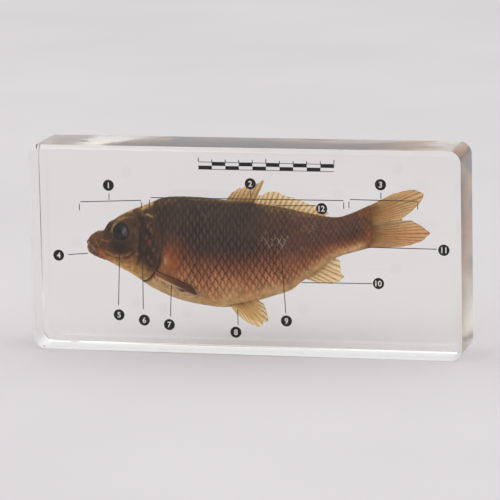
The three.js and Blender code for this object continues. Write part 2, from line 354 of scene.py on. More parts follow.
def ripple(seed: int, *places: np.ndarray) -> np.ndarray:
    """Smooth seeded waviness between about -1 and 1.

    Args:
        seed: Seed of the wave set.
        *places: Coordinates, already divided by the wanted feature size.

    Returns:
        The waviness at each place.
    """
    dice = np.random.default_rng(seed)
    total = np.zeros_like(places[0])
    waves = 7
    for _ in range(waves):
        turn = dice.uniform(0, 2 * math.pi, len(places) + 1)
        pull = dice.uniform(0.5, 1.6, len(places))
        total += np.sin(sum(p * k * math.cos(a) * 2 for p, k, a in zip(places, pull, turn)) + turn[-1])
    return total / math.sqrt(waves)


def blend(base: np.ndarray, colour: str, mask: np.ndarray) -> np.ndarray:
    """Paint a colour over a field of linear colours.

    Args:
        base: Linear colours, with three in the last axis.
        colour: Hex colour to lay over them.
        mask: Strength of the paint at each place, 0 to 1.

    Returns:
        The painted field.
    """
    share = np.clip(mask, 0, 1)[..., None]
    return base * (1 - share) + np.array(linear(colour)[:3]) * share


def ramp(stops: Stops, at: np.ndarray) -> np.ndarray:
    """Linear colours along a list of stops.

    Args:
        stops: Pairs of a place and a hex colour, in rising order.
        at: Places to read the colours at.

    Returns:
        Linear colours, with three in the last axis.
    """
    places = [place for place, _ in stops]
    colours = np.array([linear(colour)[:3] for _, colour in stops])
    return np.stack([np.interp(at, places, colours[:, k]) for k in range(3)], -1)


def grid_quads(rows: int, columns: int, wrap: bool, flip: bool = False, start: int = 0) -> np.ndarray:
    """Faces of a grid of points that is listed row by row.

    Args:
        rows: Number of rows of points.
        columns: Number of points in a row.
        wrap: Whether each row closes on itself.
        flip: Whether the faces turn the other way.
        start: Number of the grid's first point.

    Returns:
        Four point numbers for each face.
    """
    r = np.arange(rows - 1)[:, None]
    c = np.arange(columns if wrap else columns - 1)[None, :]
    after = (c + 1) % columns
    here, below = r * columns, (r + 1) * columns
    quads = np.stack([here + c, here + after, below + after, below + c], -1).reshape(-1, 4)
    return start + (quads[:, ::-1] if flip else quads)


def outward(grid: np.ndarray, wrap: bool) -> np.ndarray:
    """Unit normals of a grid of points, by central differences.

    Args:
        grid: Points in rows and columns.
        wrap: Whether each row closes on itself.

    Returns:
        One normal for each point.
    """
    down = np.gradient(grid, axis=0)
    across = (np.roll(grid, -1, 1) - np.roll(grid, 1, 1)) / 2 if wrap else np.gradient(grid, axis=1)
    normal = np.cross(across, down)
    return normal / np.maximum(np.linalg.norm(normal, axis=-1, keepdims=True), 1e-9)


def mesh_piece(
    name: str,
    points_mm: np.ndarray,
    faces: Sequence[Sequence[int]],
    material: bpy.types.Material,
    smooth_faces: bool = True,
) -> bpy.types.Object:
    """Make an object in the frame from points in millimetres.

    Args:
        name: Name of the piece.
        points_mm: Points, three numbers each.
        faces: Point numbers of each face.
        material: Finish of the piece.
        smooth_faces: Whether shading runs across the faces.

    Returns:
        The new object.
    """
    mesh = bpy.data.meshes.new(name)
    mesh.from_pydata((np.asarray(points_mm) * MM).tolist(), [], [list(map(int, f)) for f in faces])
    mesh.polygons.foreach_set("use_smooth", [smooth_faces] * len(mesh.polygons))
    mesh.materials.append(material)
    mesh.validate()
    mesh.update()
    piece = bpy.data.objects.new(name, mesh)
    bpy.context.scene.collection.objects.link(piece)
    return piece


def tint_piece(piece: bpy.types.Object, colours: np.ndarray, cover: np.ndarray | None = None) -> None:
    """Store painted colours on a piece's points for its material to read.

    Args:
        piece: Object to paint.
        colours: Linear colours, three for each point.
        cover: How solid each point is, from 0 to 1, where the piece is see-through.
    """
    rgba = np.concatenate([colours.reshape(-1, 3), np.ones((colours.size // 3, 1))], 1)
    layer = piece.data.attributes.new("tint", "FLOAT_COLOR", "POINT")
    layer.data.foreach_set("color", rgba.astype(np.float32).ravel())
    if cover is not None:
        layer = piece.data.attributes.new("cover", "FLOAT", "POINT")
        layer.data.foreach_set("value", cover.astype(np.float32).ravel())


def enlist(piece: bpy.types.Object, slot: str, *nodes: str) -> None:
    """Let a piece ride with the block and stand for solids.

    Args:
        piece: Finished object.
        slot: The record's material slot; not used.
        *nodes: Names of the solids that it stands for.
    """
    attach(piece, BODY)
    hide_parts(*nodes)
    LOG.info("%s: %d points, %d faces", piece.name, len(piece.data.vertices), len(piece.data.polygons))


@dataclass(frozen=True)
class CarpShape:
    """The fish's bare form.

    A section is the distance behind the snout, the back's and the belly's height and the half width. The
    gill edge gives the distance of the gill cover's rear edge for a share of the height.
    """

    sections: tuple[tuple[float, float, float, float], ...] = (
        (0, 1.0, -1.8, 1.7), (1.6, 2.9, -4.0, 3.0), (4, 4.5, -5.0, 3.9), (5.6, 4.9, -5.5, 4.3),
        (8.8, 7.7, -6.8, 5.1), (13.4, 10.9, -9.1, 6.2), (18, 13.0, -11.5, 7.0), (23, 14.9, -15.0, 7.7),
        (29.5, 17.3, -18.0, 8.4), (36, 17.8, -20.1, 8.8), (45, 17.6, -21.7, 8.8), (52, 17.0, -22.3, 8.4),
        (60, 16.3, -20.7, 7.7), (69, 15.3, -17.8, 6.7), (76.5, 14.1, -15.2, 5.6), (79.5, 13.4, -12.8, 5.2),
        (85.5, 12.3, -8.3, 4.4), (90, 11.6, -4.7, 3.7), (94.5, 11.6, -2.2, 3.1), (99, 13.2, -0.8, 2.5),
        (105.5, 16.3, 0.9, 1.0),
    )
    gill_edge: tuple[Point, ...] = (
        (0.0, 20.2), (0.08, 22.6), (0.22, 26.0), (0.38, 28.5), (0.53, 29.5), (0.68, 29.3), (0.83, 27.8),
        (0.93, 26.2), (1.0, 25.6),
    )
    eye: Point = (13.9, 5.3)
    fullness: float = 2.3
    tail_tip: float = 127.7
    fin_top: float = 24.8
    ring_points: int = 300
    typical: Point = (8.0, 18.0)

    def origin(self) -> np.ndarray:
        """Place of the snout in the block, in millimetres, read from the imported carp."""
        low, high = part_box("carp")
        middle = (low.y + high.y) / 2 / MM
        return np.array([high.x / MM - self.tail_tip, middle, high.z / MM - self.fin_top])

    def turns(self) -> np.ndarray:
        """Angles that spread points evenly round a typical section.

        Returns:
            Angles from the belly, up the far side and down the near side.
        """
        dense = np.linspace(-math.pi / 2, 1.5 * math.pi, 4001)
        across, up = self.rim(dense)
        ring = np.column_stack([across * self.typical[0], up * self.typical[1]])
        run = np.concatenate([[0], np.cumsum(np.linalg.norm(np.diff(ring, axis=0), axis=1))])
        want = np.linspace(0, run[-1], self.ring_points, endpoint=False)
        return np.interp(want, run, dense)

    def rim(self, turn: np.ndarray) -> tuple[np.ndarray, np.ndarray]:
        """Shares of the half width and the half height on a section's rim.

        Args:
            turn: Angles round the section.

        Returns:
            Sideways and upward shares, from -1 to 1.
        """
        power = 2 / self.fullness
        across = np.sign(np.cos(turn)) * np.abs(np.cos(turn)) ** power
        up = np.sign(np.sin(turn)) * np.abs(np.sin(turn)) ** power
        return across, up

    def skin(self, distance: np.ndarray, turn: np.ndarray) -> np.ndarray:
        """Points of the skin.

        Args:
            distance: Distances behind the snout.
            turn: Angles round the section.

        Returns:
            Points in the fish's frame.
        """
        across, up = self.rim(turn)
        back, belly, half_width = np.moveaxis(cubic_through(self.sections, distance), -1, 0)
        height = (back + belly) / 2 + (back - belly) / 2 * up
        return np.stack([distance, half_width * across, height], -1)

    def flank(self, distance: np.ndarray, height: np.ndarray) -> np.ndarray:
        """Half width of the body.

        Args:
            distance: Distances behind the snout.
            height: Heights above the mouth.

        Returns:
            Half widths.
        """
        back, belly, half_width = np.moveaxis(cubic_through(self.sections, distance), -1, 0)
        rise = np.clip(np.abs(2 * height - back - belly) / (back - belly), 0, 1)
        return half_width * (1 - rise**self.fullness) ** (1 / self.fullness)

    def rise(self, turn: np.ndarray) -> np.ndarray:
        """Share of the height at an angle: 0 at the belly, 1 at the back."""
        return (1 + self.rim(turn)[1]) / 2

    def gill(self, rise: np.ndarray) -> np.ndarray:
        """Distance of the gill cover's rear edge behind the snout, at a share of the height."""
        return cubic_through(self.gill_edge, rise)[..., 0]


@dataclass(frozen=True)
class ScaleCoat:
    """Overlapping scales in staggered rows, each with its free edge towards the tail.

    Pitch and row are the spacing in millimetres along and across the body. The scales shrink to the tail
    share between the two distances of shrink. Reach and spread are a scale's half length and half width,
    in spacings.
    """

    pitch: float = 2.5
    row: float = 2.15
    tail_share: float = 0.66
    shrink: Point = (55.0, 100.0)
    reach: float = 0.78
    spread: float = 1.0
    lift: float = 0.17

    def number(self, column: np.ndarray, row: np.ndarray) -> np.ndarray:
        """A number from 0 to 1 that belongs to one scale and looks thrown by chance."""
        return np.modf(np.abs(np.sin(column * 12.99 + row * 78.23)) * 437.5)[0]

    def cover(self, distance: np.ndarray, girth: np.ndarray) -> tuple[np.ndarray, ...]:
        """Find the scale that shows at each place.

        Args:
            distance: Distance behind the snout.
            girth: Distance round the body from the lateral line, up positive.

        Returns:
            How far it is to the scale's own free edge, how far the place lies behind the edge of the scale
            in front, both in scale pitches, and a number from 0 to 1 that stays the same on one scale.
        """
        size = 1 - (1 - self.tail_share) * smooth(*self.shrink, distance)
        order = np.argsort(distance, axis=None)
        run = np.zeros(distance.size)
        sorted_distance = distance.ravel()[order]
        sorted_size = size.ravel()[order]
        steps = np.diff(sorted_distance) / sorted_size[1:]
        run[order] = np.concatenate([[0], np.cumsum(steps)]) / self.pitch
        along = run.reshape(distance.shape)
        up = girth / (self.row * size)
        front = np.full(along.shape, np.inf)
        own_edge = np.ones_like(along)
        past_edge = np.full(along.shape, np.inf)
        number = np.zeros_like(along)
        for row_step in (-1, 0, 1):
            row = np.floor(up + 0.5) + row_step
            stagger = 0.5 * (row % 2)
            for column_step in (-1, 0, 1):
                column = np.floor(along - stagger) + column_step
                centre = column + stagger
                room = 1 - ((up - row) / self.spread) ** 2
                edge = self.reach * np.sqrt(np.maximum(room, 0)) - (along - centre)
                shows = (room > 0) & (edge > 0) & (centre < front)
                front = np.where(shows, centre, front)
                own_edge = np.where(shows, edge, own_edge)
                number = np.where(shows, self.number(column, row), number)
                in_front = (room > 0) & (edge <= 0)
                past_edge = np.where(in_front, np.minimum(past_edge, -edge), past_edge)
        return own_edge, past_edge, number


@dataclass
class CarpBody:
    """Scaled skin from under the gill covers to the tail root, from start to end behind the snout."""

    shape: CarpShape
    coat: ScaleCoat = field(default_factory=ScaleCoat)
    start: float = 17.0
    end: float = 105.5
    stations: int = 300
    tail_dome: float = 1.6
    back_to_belly: Stops = (
        (0.0, "#f6d8a6"), (0.05, "#eec894"), (0.12, "#e0b080"), (0.24, "#cc9268"), (0.36, "#a06848"),
        (0.48, "#704a34"), (0.6, "#523e32"), (0.8, "#4a3b32"), (0.965, "#463b31"), (1.0, "#7c6c4c"),
    )
    # Colours of the dark marks between the scales: partly the skin's pigment, partly painted shade under
    # the scale edges.
    net: Stops = (
        (0.0, "#c09060"), (0.08, "#98603c"), (0.2, "#6e3016"), (0.36, "#4e1c0c"), (0.5, "#280f06"),
        (0.65, "#180b05"), (0.85, "#1a1009"), (1.0, "#2c2216"),
    )
    warmth: Point3 = (0.88, 0.78, 0.66)
    waviness: float = 0.12
    gill_tuck: float = 1.1
    tail_thinning: float = 0.55

    def build(self, finish: bpy.types.Material) -> bpy.types.Object:
        """Make the scaled skin with its relief and paint.

        Args:
            finish: Skin material.

        Returns:
            The finished piece.
        """
        turn = self.shape.turns()
        distance = np.linspace(self.start, self.end, self.stations)
        distance, turn = np.meshgrid(distance, turn, indexing="ij")
        skin = self.shape.skin(distance, turn)
        rise = self.shape.rise(turn)
        girth = self.girth(skin, turn)
        own_edge, past_edge, number = self.coat.cover(distance, girth)
        tail_fade = 1 - 0.5 * smooth(92, 105, distance)
        relief = self.coat.lift * (1 - smooth(0.0, 0.95, own_edge)) * tail_fade
        relief += self.waviness * ripple(5, distance / 9, girth / 6)
        relief -= self.gill_tuck * smooth(0.6, -0.6, distance - self.shape.gill(rise))
        skin = skin + outward(skin, True) * relief[..., None]
        skin[..., 1] *= 1 - self.tail_thinning * smooth(98, self.end, distance)
        tip = np.array([[self.end + self.tail_dome, 0, skin[-1, :, 2].mean()]])
        rows, columns = distance.shape
        faces = grid_quads(rows, columns, True).tolist()
        last = (rows - 1) * columns
        faces += [[last + c, last + (c + 1) % columns, rows * columns] for c in range(columns)]
        points = np.concatenate([skin.reshape(-1, 3), tip]) + self.shape.origin()
        piece = mesh_piece("carp_body", points, faces, finish)
        colours = self.paint(distance, rise, girth, own_edge, past_edge, number)
        tint_piece(piece, np.concatenate([colours.reshape(-1, 3), colours[-1, :1]]))
        return piece

    def girth(self, skin: np.ndarray, turn: np.ndarray) -> np.ndarray:
        """Distance round each section from the lateral line.

        Args:
            skin: Points of the bare form, one section a row.
            turn: Angles of those points.

        Returns:
            Distances, positive towards the back.
        """
        step = np.linalg.norm(np.diff(skin, axis=1), axis=-1)
        run = np.concatenate([np.zeros((len(skin), 1)), np.cumsum(step, axis=1)], 1)
        far = np.argmin(np.abs(turn[0]))
        near = np.argmin(np.abs(turn[0] - math.pi))
        from_far = run - run[:, far : far + 1]
        from_near = run[:, near : near + 1] - run
        return np.where(turn < math.pi / 2, from_far, from_near)

    def paint(
        self,
        distance: np.ndarray,
        rise: np.ndarray,
        girth: np.ndarray,
        own_edge: np.ndarray,
        past_edge: np.ndarray,
        number: np.ndarray,
    ) -> np.ndarray:
        """Colour the skin: dark back, red-brown flank with dark marks between the scales, partly pigment
        and partly painted shade, golden belly.

        Args:
            distance: Distance behind the snout.
            rise: Share of the height, 0 at the belly.
            girth: Distance round the body from the lateral line.
            own_edge: Distance to the scale's own free edge, in pitches.
            past_edge: Distance behind the scale in front, in pitches.
            number: Number of the scale, 0 to 1.

        Returns:
            Linear colours.
        """
        wander = rise + 0.035 * ripple(11, distance / 7, girth / 5)
        rear = smooth(66, 92, distance)
        drop = 0.1 * rear - 0.12 * smooth(48, 30, distance)
        colour = ramp(self.back_to_belly, np.clip(wander + drop * (1 - rise), 0, 1))
        shoulder = bell(distance - 33, 4.5) * bell(girth + 5.5, 6.5)
        behind_gill = distance - self.shape.gill(rise)
        frayed_end = distance + 1.6 * ripple(17, girth / 2, girth / 2)
        washes = (
            # Paler brown rear flank and golden rear belly.
            ("#7e5546", 0.6 * smooth(58, 84, distance) * smooth(0.3, 0.6, rise)),
            ("#e2c08c", smooth(0.24, 0.04, rise) * smooth(72, 92, distance)),
            # Dark nape, orange shoulder with a pale bare spot, and the shadow of the gill cover.
            ("#4a3627", 0.8 * smooth(36, 30, distance) * smooth(0.46, 0.62, rise)),
            ("#a4581c", 0.9 * shoulder),
            ("#d0ac8c", 0.65 * bell(distance - 31.0, 1.1) * bell(girth + 4.6, 1.7)),
            ("#33190f", 0.95 * bell(behind_gill - 0.4, 1.0) * smooth(0.5, 0.3, rise)),
            # Brown root of the tail.
            ("#8a5a30", smooth(100, 105, frayed_end)),
        )
        for wash, strength in washes:
            colour = blend(colour, wash, strength)
        # Dark marks just behind the edges of the scales in front: partly pigment, partly painted shade
        # under those edges.
        net = ramp(self.net, np.clip(wander, 0, 1))
        behind = np.minimum(past_edge, 2.0)
        across = behind / (behind + own_edge + 1e-6)
        lens = smooth(0.08, 0.74, across) * (1 - 0.48 * smooth(0.72, 1.0, across))
        pocket_pigment_and_shade = (1 - lens) * smooth(0.03, 0.2, rise)
        strength = 0.95 - 0.2 * rear - 0.12 * smooth(0.45, 0.7, rise) - 0.6 * shoulder
        strength = strength + 0.14 * ripple(27, distance / 6, girth / 6)
        share = np.clip(pocket_pigment_and_shade * strength, 0, 1)[..., None]
        colour = colour * (1 - share) + net * share
        colour = colour * (0.92 + 0.16 * number)[..., None]
        # Pale arcs along some scale edges on the rear flank and the back: air trapped under the scales,
        # its silvery glint painted as a pale highlight.
        flaws = smooth(0.25, 0.8, ripple(21, distance / 2.2, girth / 2.2))
        rear_flaws = bell(distance - 75, 12) * bell(girth - 4.0, 4.5)
        back_flaws = 0.6 * bell(distance - 42, 4) * bell(girth - 14, 1.6)
        air_gap_glint = bell(own_edge, 0.09) * flaws * (rear_flaws + back_flaws)
        return blend(colour, "#d8c4b4", 0.75 * air_gap_glint) * np.array(self.warmth)


@dataclass(frozen=True)
class HeadMarks:
    """Where the head's features lie, at each of its points.

    X and z are the distance behind the snout and the height. Share runs from 0 at the snout to 1 at the
    gill cover's edge, and rise from 0 at the throat to 1 at the crown. To_eye, cheek and behind_fore are
    distances in millimetres, and the rest are strengths.
    """

    x: np.ndarray
    z: np.ndarray
    share: np.ndarray
    rise: np.ndarray
    side: np.ndarray
    to_eye: np.ndarray
    cheek: np.ndarray
    behind_fore: np.ndarray
    gill_cover: np.ndarray
    mouth_gap: np.ndarray
    pits: np.ndarray
    flap: np.ndarray
    brow: np.ndarray
    over_brow: np.ndarray
    folds: np.ndarray
    grain: np.ndarray
    streak: np.ndarray
    blotch: np.ndarray
    wrinkle: np.ndarray


@dataclass
class CarpHead:
    """Bare head with its gill covers, lapping over the first scales."""

    shape: CarpShape
    stations: int = 170
    crowding: float = 1.25
    throat_to_crown: Stops = (
        (0.0, "#f2d4a0"), (0.07, "#e0bc7e"), (0.18, "#b88c50"), (0.3, "#6c4626"), (0.42, "#4a3020"),
        (0.75, "#4a3623"), (0.91, "#503a26"), (0.97, "#6a5030"), (1.0, "#a48c5c"),
    )
    nostrils: tuple[Point, ...] = ((8.7, 5.4), (7.3, 5.0))
    nostril_flap: Point = (8.0, 5.5)
    cheek_line: tuple[Point, ...] = (
        (4.8, 1.9), (5.2, -0.4), (6.6, -2.6), (9.5, -4.3), (12.9, -4.9), (16.3, -4.3), (19.4, -2.0),
    )
    brow_line: tuple[Point, ...] = (
        (10.5, 5.2), (10.8, 7.0), (12.2, 8.7), (15.0, 9.9), (17.6, 10.4), (20.5, 10.4),
    )
    lip_folds: tuple[tuple[Point, ...], ...] = (
        ((3.0, -0.6), (4.2, -2.2), (5.6, -4.4)),
        ((4.4, 0.6), (5.8, -1.8), (8.4, -4.6)),
        ((6.4, 1.8), (8.2, 1.4), (10.0, 1.9)),
    )
    fore_gill: tuple[Point, ...] = ((-8.5, 19.2), (-3.1, 20.8), (2.5, 21.3), (8.0, 20.9), (12.8, 19.0))
    mouth_line: tuple[Point, ...] = ((-0.6, -0.3), (1.0, -0.6), (2.4, -1.5), (4.3, -3.0))
    cover_lift: float = 0.5
    mouth_depth: float = 1.5
    mouth_back: float = 1.2
    mouth_dark: str = "#1c1512"
    warmth: Point3 = (0.92, 0.81, 0.66)
    fold: tuple[Point, ...] = ((0.25, 0.05), (0.3, -0.45), (-0.6, -0.9))

    def build(self, finish: bpy.types.Material) -> bpy.types.Object:
        """Make the head with its relief and paint.

        Args:
            finish: Skin material.

        Returns:
            The finished piece.
        """
        turn = self.shape.turns()
        rise = self.shape.rise(turn)
        share = np.linspace(0, 1, self.stations)[:, None] ** self.crowding
        distance = share * self.shape.gill(rise)[None, :]
        turn = np.broadcast_to(turn, distance.shape)
        rise = np.broadcast_to(rise, distance.shape)
        skin = self.shape.skin(distance, turn)
        normal = outward(skin, True)
        marks = self.marks(skin, share, rise)
        colour = self.paint(marks)
        skin = skin + normal * self.relief(marks)[..., None]
        rows = [skin]
        tints = [colour]
        # The fold rows tucked under the gill cover's edge take the edge's colour darkened, darkest low
        # down: painted shade in the gap.
        shade = 0.45 + 0.45 * smooth(0.35, 0.55, rise[-1:])
        for back, out in self.fold:
            lip = skin[-1] + normal[-1] * out
            lip[:, 0] += back
            rows.append(lip[None])
            tints.append(colour[-1:] * shade[..., None])
        grid = np.concatenate(rows)
        count, columns = grid.shape[:2]
        mouth = np.array([[self.mouth_back, 0, skin[0, :, 2].mean()]])
        faces = grid_quads(count, columns, True).tolist()
        faces += [[(c + 1) % columns, c, count * columns] for c in range(columns)]
        points = np.concatenate([grid.reshape(-1, 3), mouth]) + self.shape.origin()
        piece = mesh_piece("carp_head", points, faces, finish)
        paint = np.concatenate(tints)
        # The mouth's middle point takes the painted shade of the open mouth.
        tint_piece(piece, np.concatenate([paint.reshape(-1, 3), [linear(self.mouth_dark)[:3]]]))
        return piece

    def near_line(self, line: Sequence[Point], x: np.ndarray, z: np.ndarray) -> np.ndarray:
        """Distance from each place to a smooth line drawn on the head's side.

        Args:
            line: Points that the line passes.
            x: Distances behind the snout.
            z: Heights above the mouth.

        Returns:
            Distances in millimetres.
        """
        best = np.full(x.shape, np.inf)
        for px, pz in even_spline(line, 60):
            best = np.minimum(best, np.hypot(x - px, z - pz))
        return best

    def marks(self, skin: np.ndarray, share: np.ndarray, rise: np.ndarray) -> HeadMarks:
        """Find where the head's features lie.

        Args:
            skin: Points of the bare form.
            share: How far each row is towards the rear edge, 0 to 1.
            rise: Share of the height, 0 at the throat.

        Returns:
            The features at each point.
        """
        x, y, z = np.moveaxis(skin, -1, 0)
        behind_fore = x - cubic_through(self.fore_gill, z)[..., 0]
        on_cover = smooth(-4.0, 2.5, behind_fore + 0.7 * np.minimum(z + 2, 0))
        above_brow = self.near_line(self.brow_line, x + 0.3, z - 0.95)
        return HeadMarks(
            x=x,
            z=z,
            share=share,
            rise=rise,
            side=smooth(0.4, 1.6, np.abs(y)),
            to_eye=np.hypot(x - self.shape.eye[0], z - self.shape.eye[1]),
            cheek=self.near_line(self.cheek_line, x, z),
            behind_fore=behind_fore,
            gill_cover=on_cover * smooth(0.1, 0.36, rise) * smooth(0.99, 0.85, rise),
            mouth_gap=bell(self.near_line(self.mouth_line, x, z), 0.55) * smooth(5.2, 3.8, x),
            pits=sum(bell(np.hypot(x - px, z - pz), 0.5) for px, pz in self.nostrils),
            flap=bell(np.hypot(x - self.nostril_flap[0], z - self.nostril_flap[1]), 0.45),
            brow=bell(self.near_line(self.brow_line, x, z), 0.42) * smooth(21, 14, x),
            over_brow=bell(above_brow, 0.4) * smooth(17, 14, x),
            folds=sum(bell(self.near_line(line, x, z), 0.35) for line in self.lip_folds),
            grain=ripple(31, x / 2.6, z / 2.6, y / 4),
            streak=ripple(37, x / 0.45, z / 2.5),
            blotch=ripple(43, x / 0.8, z / 1.3),
            wrinkle=ripple(41, x / 0.34, z / 0.3, y / 1.2),
        )

    def relief(self, m: HeadMarks) -> np.ndarray:
        """Model the head's bones, folds and openings.

        Args:
            m: The head's features.

        Returns:
            How far each point is pushed out.
        """
        rear_edge = smooth(0.55, 1.0, m.share) * smooth(0.02, 0.12, m.rise) * smooth(1.0, 0.88, m.rise)
        fore_ridge = 0.22 * bell(m.behind_fore + 0.5, 0.6) - 0.32 * bell(m.behind_fore - 0.3, 0.4)
        bones = 0.3 * m.brow - 0.2 * m.over_brow - 0.28 * bell(m.cheek, 0.4)
        openings = 0.55 * m.flap - 0.7 * m.pits - 0.9 * smooth(3.4, 2.9, m.to_eye)
        snout_profile = 0.4 * bell(m.x - 8.9, 1.2) - 0.4 * bell(m.x - 6.3, 0.8)
        relief = self.cover_lift * rear_edge - self.mouth_depth * m.mouth_gap
        relief += m.side * (bones + 0.22 * m.folds + openings + fore_ridge * smooth(-9, -6, m.z))
        relief += snout_profile * smooth(0.68, 0.92, m.rise)
        relief += 0.1 * m.grain + 0.09 * m.streak * m.gill_cover
        return relief + m.wrinkle * (0.02 + 0.08 * smooth(12, 6, m.x))

    def paint(self, m: HeadMarks) -> np.ndarray:
        """Colour the head: golden throat, ruddy jaw, dark streaked gill cover and brown crown.

        Args:
            m: The head's features.

        Returns:
            Linear colours.
        """
        jaw = smooth(12, 5.0, m.x) * smooth(1.0, 3.5, m.x) * smooth(0.5, 0.28, m.rise + 0.04 * m.grain)
        margin = smooth(0.84, 1.0, m.share) * smooth(0.3, 0.5, m.rise) * smooth(0.97, 0.85, m.rise)
        ridge = bell(m.behind_fore + 1.2, 0.8) * smooth(-8, -4, m.z) * smooth(9, 5, m.z)
        groove = bell(m.behind_fore - 0.3, 0.6) * smooth(-10, -5, m.z) * smooth(9, 5, m.z)
        crest = m.z - 11.3 - 0.35 * np.sin(1.5 * (m.x - 23.0))
        washes = (
            # Ruddy jaw and brown snout.
            ("#8f5230", 0.85 * jaw),
            ("#5e3f26", 0.8 * smooth(8.0, 3.0, m.x) * smooth(0.42, 0.6, m.rise)),
            # Dark gill cover with pale and black streaks, a red spot and a brown margin.
            ("#2c1d14", 0.75 * m.gill_cover),
            ("#664c32", 0.65 * m.gill_cover * smooth(0.0, 1.0, m.streak * 0.5 + m.blotch)),
            ("#150d0a", 0.6 * m.gill_cover * smooth(0.0, 1.0, -m.blotch)),
            ("#5c2e20", 0.5 * bell(m.x - 24.6, 1.5) * bell(m.z - 1.4, 1.7)),
            ("#4a3627", 0.75 * margin),
            # Painted shadow under the eye, then the ridge and groove in front of the gill cover, the
            # groove darkened with painted shade.
            ("#140d0a", m.side * bell(m.x - 13.6, 3.4) * bell(m.z + 0.9, 2.6)),
            ("#6b5030", m.side * 0.5 * ridge),
            ("#1d130d", m.side * 0.7 * groove),
            # Cheek bone: a groove darkened with painted shade, with a pale lower lip.
            ("#2c1a10", m.side * 0.55 * bell(m.cheek, 0.5)),
            ("#b07a4e", m.side * 0.5 * bell(m.cheek - 1.0, 0.5) * smooth(-1.5, -3.0, m.z)),
            # Pale crest over the gill cover, painted shade in the hollow over the brow, the pale brow, and
            # painted shade in the eye socket round the eye.
            ("#a8946c", 0.8 * bell(crest, 0.3) * bell(m.x - 25.0, 1.6)),
            ("#2a1b11", m.side * 0.7 * m.over_brow),
            ("#a9855a", m.side * 0.75 * m.brow),
            ("#17100d", m.side * smooth(3.6, 3.1, m.to_eye)),
            # Folds behind the lips, nostrils with their flap, and the open mouth; the dark in the nostril
            # pits and the mouth is painted shade.
            ("#a8704c", m.side * 0.45 * m.folds),
            ("#2a1a10", 0.7 * bell(m.x - 8.6, 1.3) * smooth(0.66, 0.85, m.rise)),
            ("#150f0c", m.side * 0.9 * m.pits),
            ("#96805c", m.side * 0.6 * m.flap),
            ("#120c0a", m.mouth_gap),
            # Thin edge of the gill cover.
            ("#543c28", 0.3 * smooth(0.97, 1.0, m.share) * smooth(0.25, 0.6, m.rise)),
        )
        colour = ramp(self.throat_to_crown, m.rise + 0.03 * m.grain)
        for wash, strength in washes:
            colour = blend(colour, wash, strength)
        wrinkling = m.wrinkle * (0.08 + 0.24 * smooth(0.25, 0.5, m.rise))
        return colour * np.array(self.warmth) * (1 + wrinkling + 0.18 * m.grain)[..., None]


@dataclass
class Lips:
    """Soft upper and lower lips, each a tapered roll from one mouth corner round to the other."""

    shape: CarpShape
    upper: tuple[Point3, ...] = (
        (4.5, 3.75, -3.5), (3.3, 3.3, -2.2), (2.2, 2.6, -0.8), (1.3, 1.5, 0.15), (0.95, 0.0, 0.45),
    )
    lower: tuple[Point3, ...] = (
        (4.6, 3.65, -3.8), (3.3, 3.0, -3.4), (2.2, 2.2, -2.9), (1.3, 1.2, -2.5), (1.0, 0.0, -2.35),
    )
    thick: Point = (0.95, 0.7)
    tints: tuple[str, str] = ("#6b4c36", "#4c3a2e")
    pale_top: str = "#b49a7c"
    corner_share: float = 0.45
    closed_end: float = 0.02
    steps: int = 90
    sides: int = 20

    def build(self, finish: bpy.types.Material) -> bpy.types.Object:
        """Make both lips as one piece.

        Args:
            finish: Skin material.

        Returns:
            The finished piece.
        """
        points, faces, tints = [], [], []
        for half, radius, colour in zip((self.upper, self.lower), self.thick, self.tints):
            mirrored = [(x, -y, z) for x, y, z in half[-2::-1]]
            line = even_spline([*half, *mirrored], self.steps)
            share = np.linspace(-1, 1, self.steps)
            reach = radius * (1 - (1 - self.corner_share) * share**2)
            reach[[0, -1]] = self.closed_end
            ahead = np.gradient(line, axis=0)
            ahead /= np.linalg.norm(ahead, axis=1, keepdims=True)
            sideways = np.cross(ahead, [0.0, 0.0, 1.0])
            sideways /= np.linalg.norm(sideways, axis=1, keepdims=True)
            over = np.cross(sideways, ahead)
            turn = np.linspace(0, 2 * math.pi, self.sides, endpoint=False)
            across, upward = np.cos(turn)[None, :, None], np.sin(turn)[None, :, None]
            ring = across * sideways[:, None] + upward * over[:, None]
            crease = 1 + 0.06 * np.sin(40 * share)[:, None]
            roll = line[:, None] + ring * (reach[:, None] * crease)[..., None]
            start = sum(len(p) for p in points)
            points.append(roll.reshape(-1, 3))
            faces += grid_quads(self.steps, self.sides, True, True, start).tolist()
            ground = np.broadcast_to(np.array(linear(colour)[:3]), roll.shape)
            # Each lip roll is paler on its upper side: a painted highlight where light falls from above.
            pale = np.broadcast_to(smooth(0.2, 0.9, np.sin(turn))[None, :], roll.shape[:2])
            tints.append(blend(ground, self.pale_top, 0.45 * pale).reshape(-1, 3))
        piece = mesh_piece("carp_lips", np.concatenate(points) + self.shape.origin(), faces, finish)
        tint_piece(piece, np.concatenate(tints))
        return piece


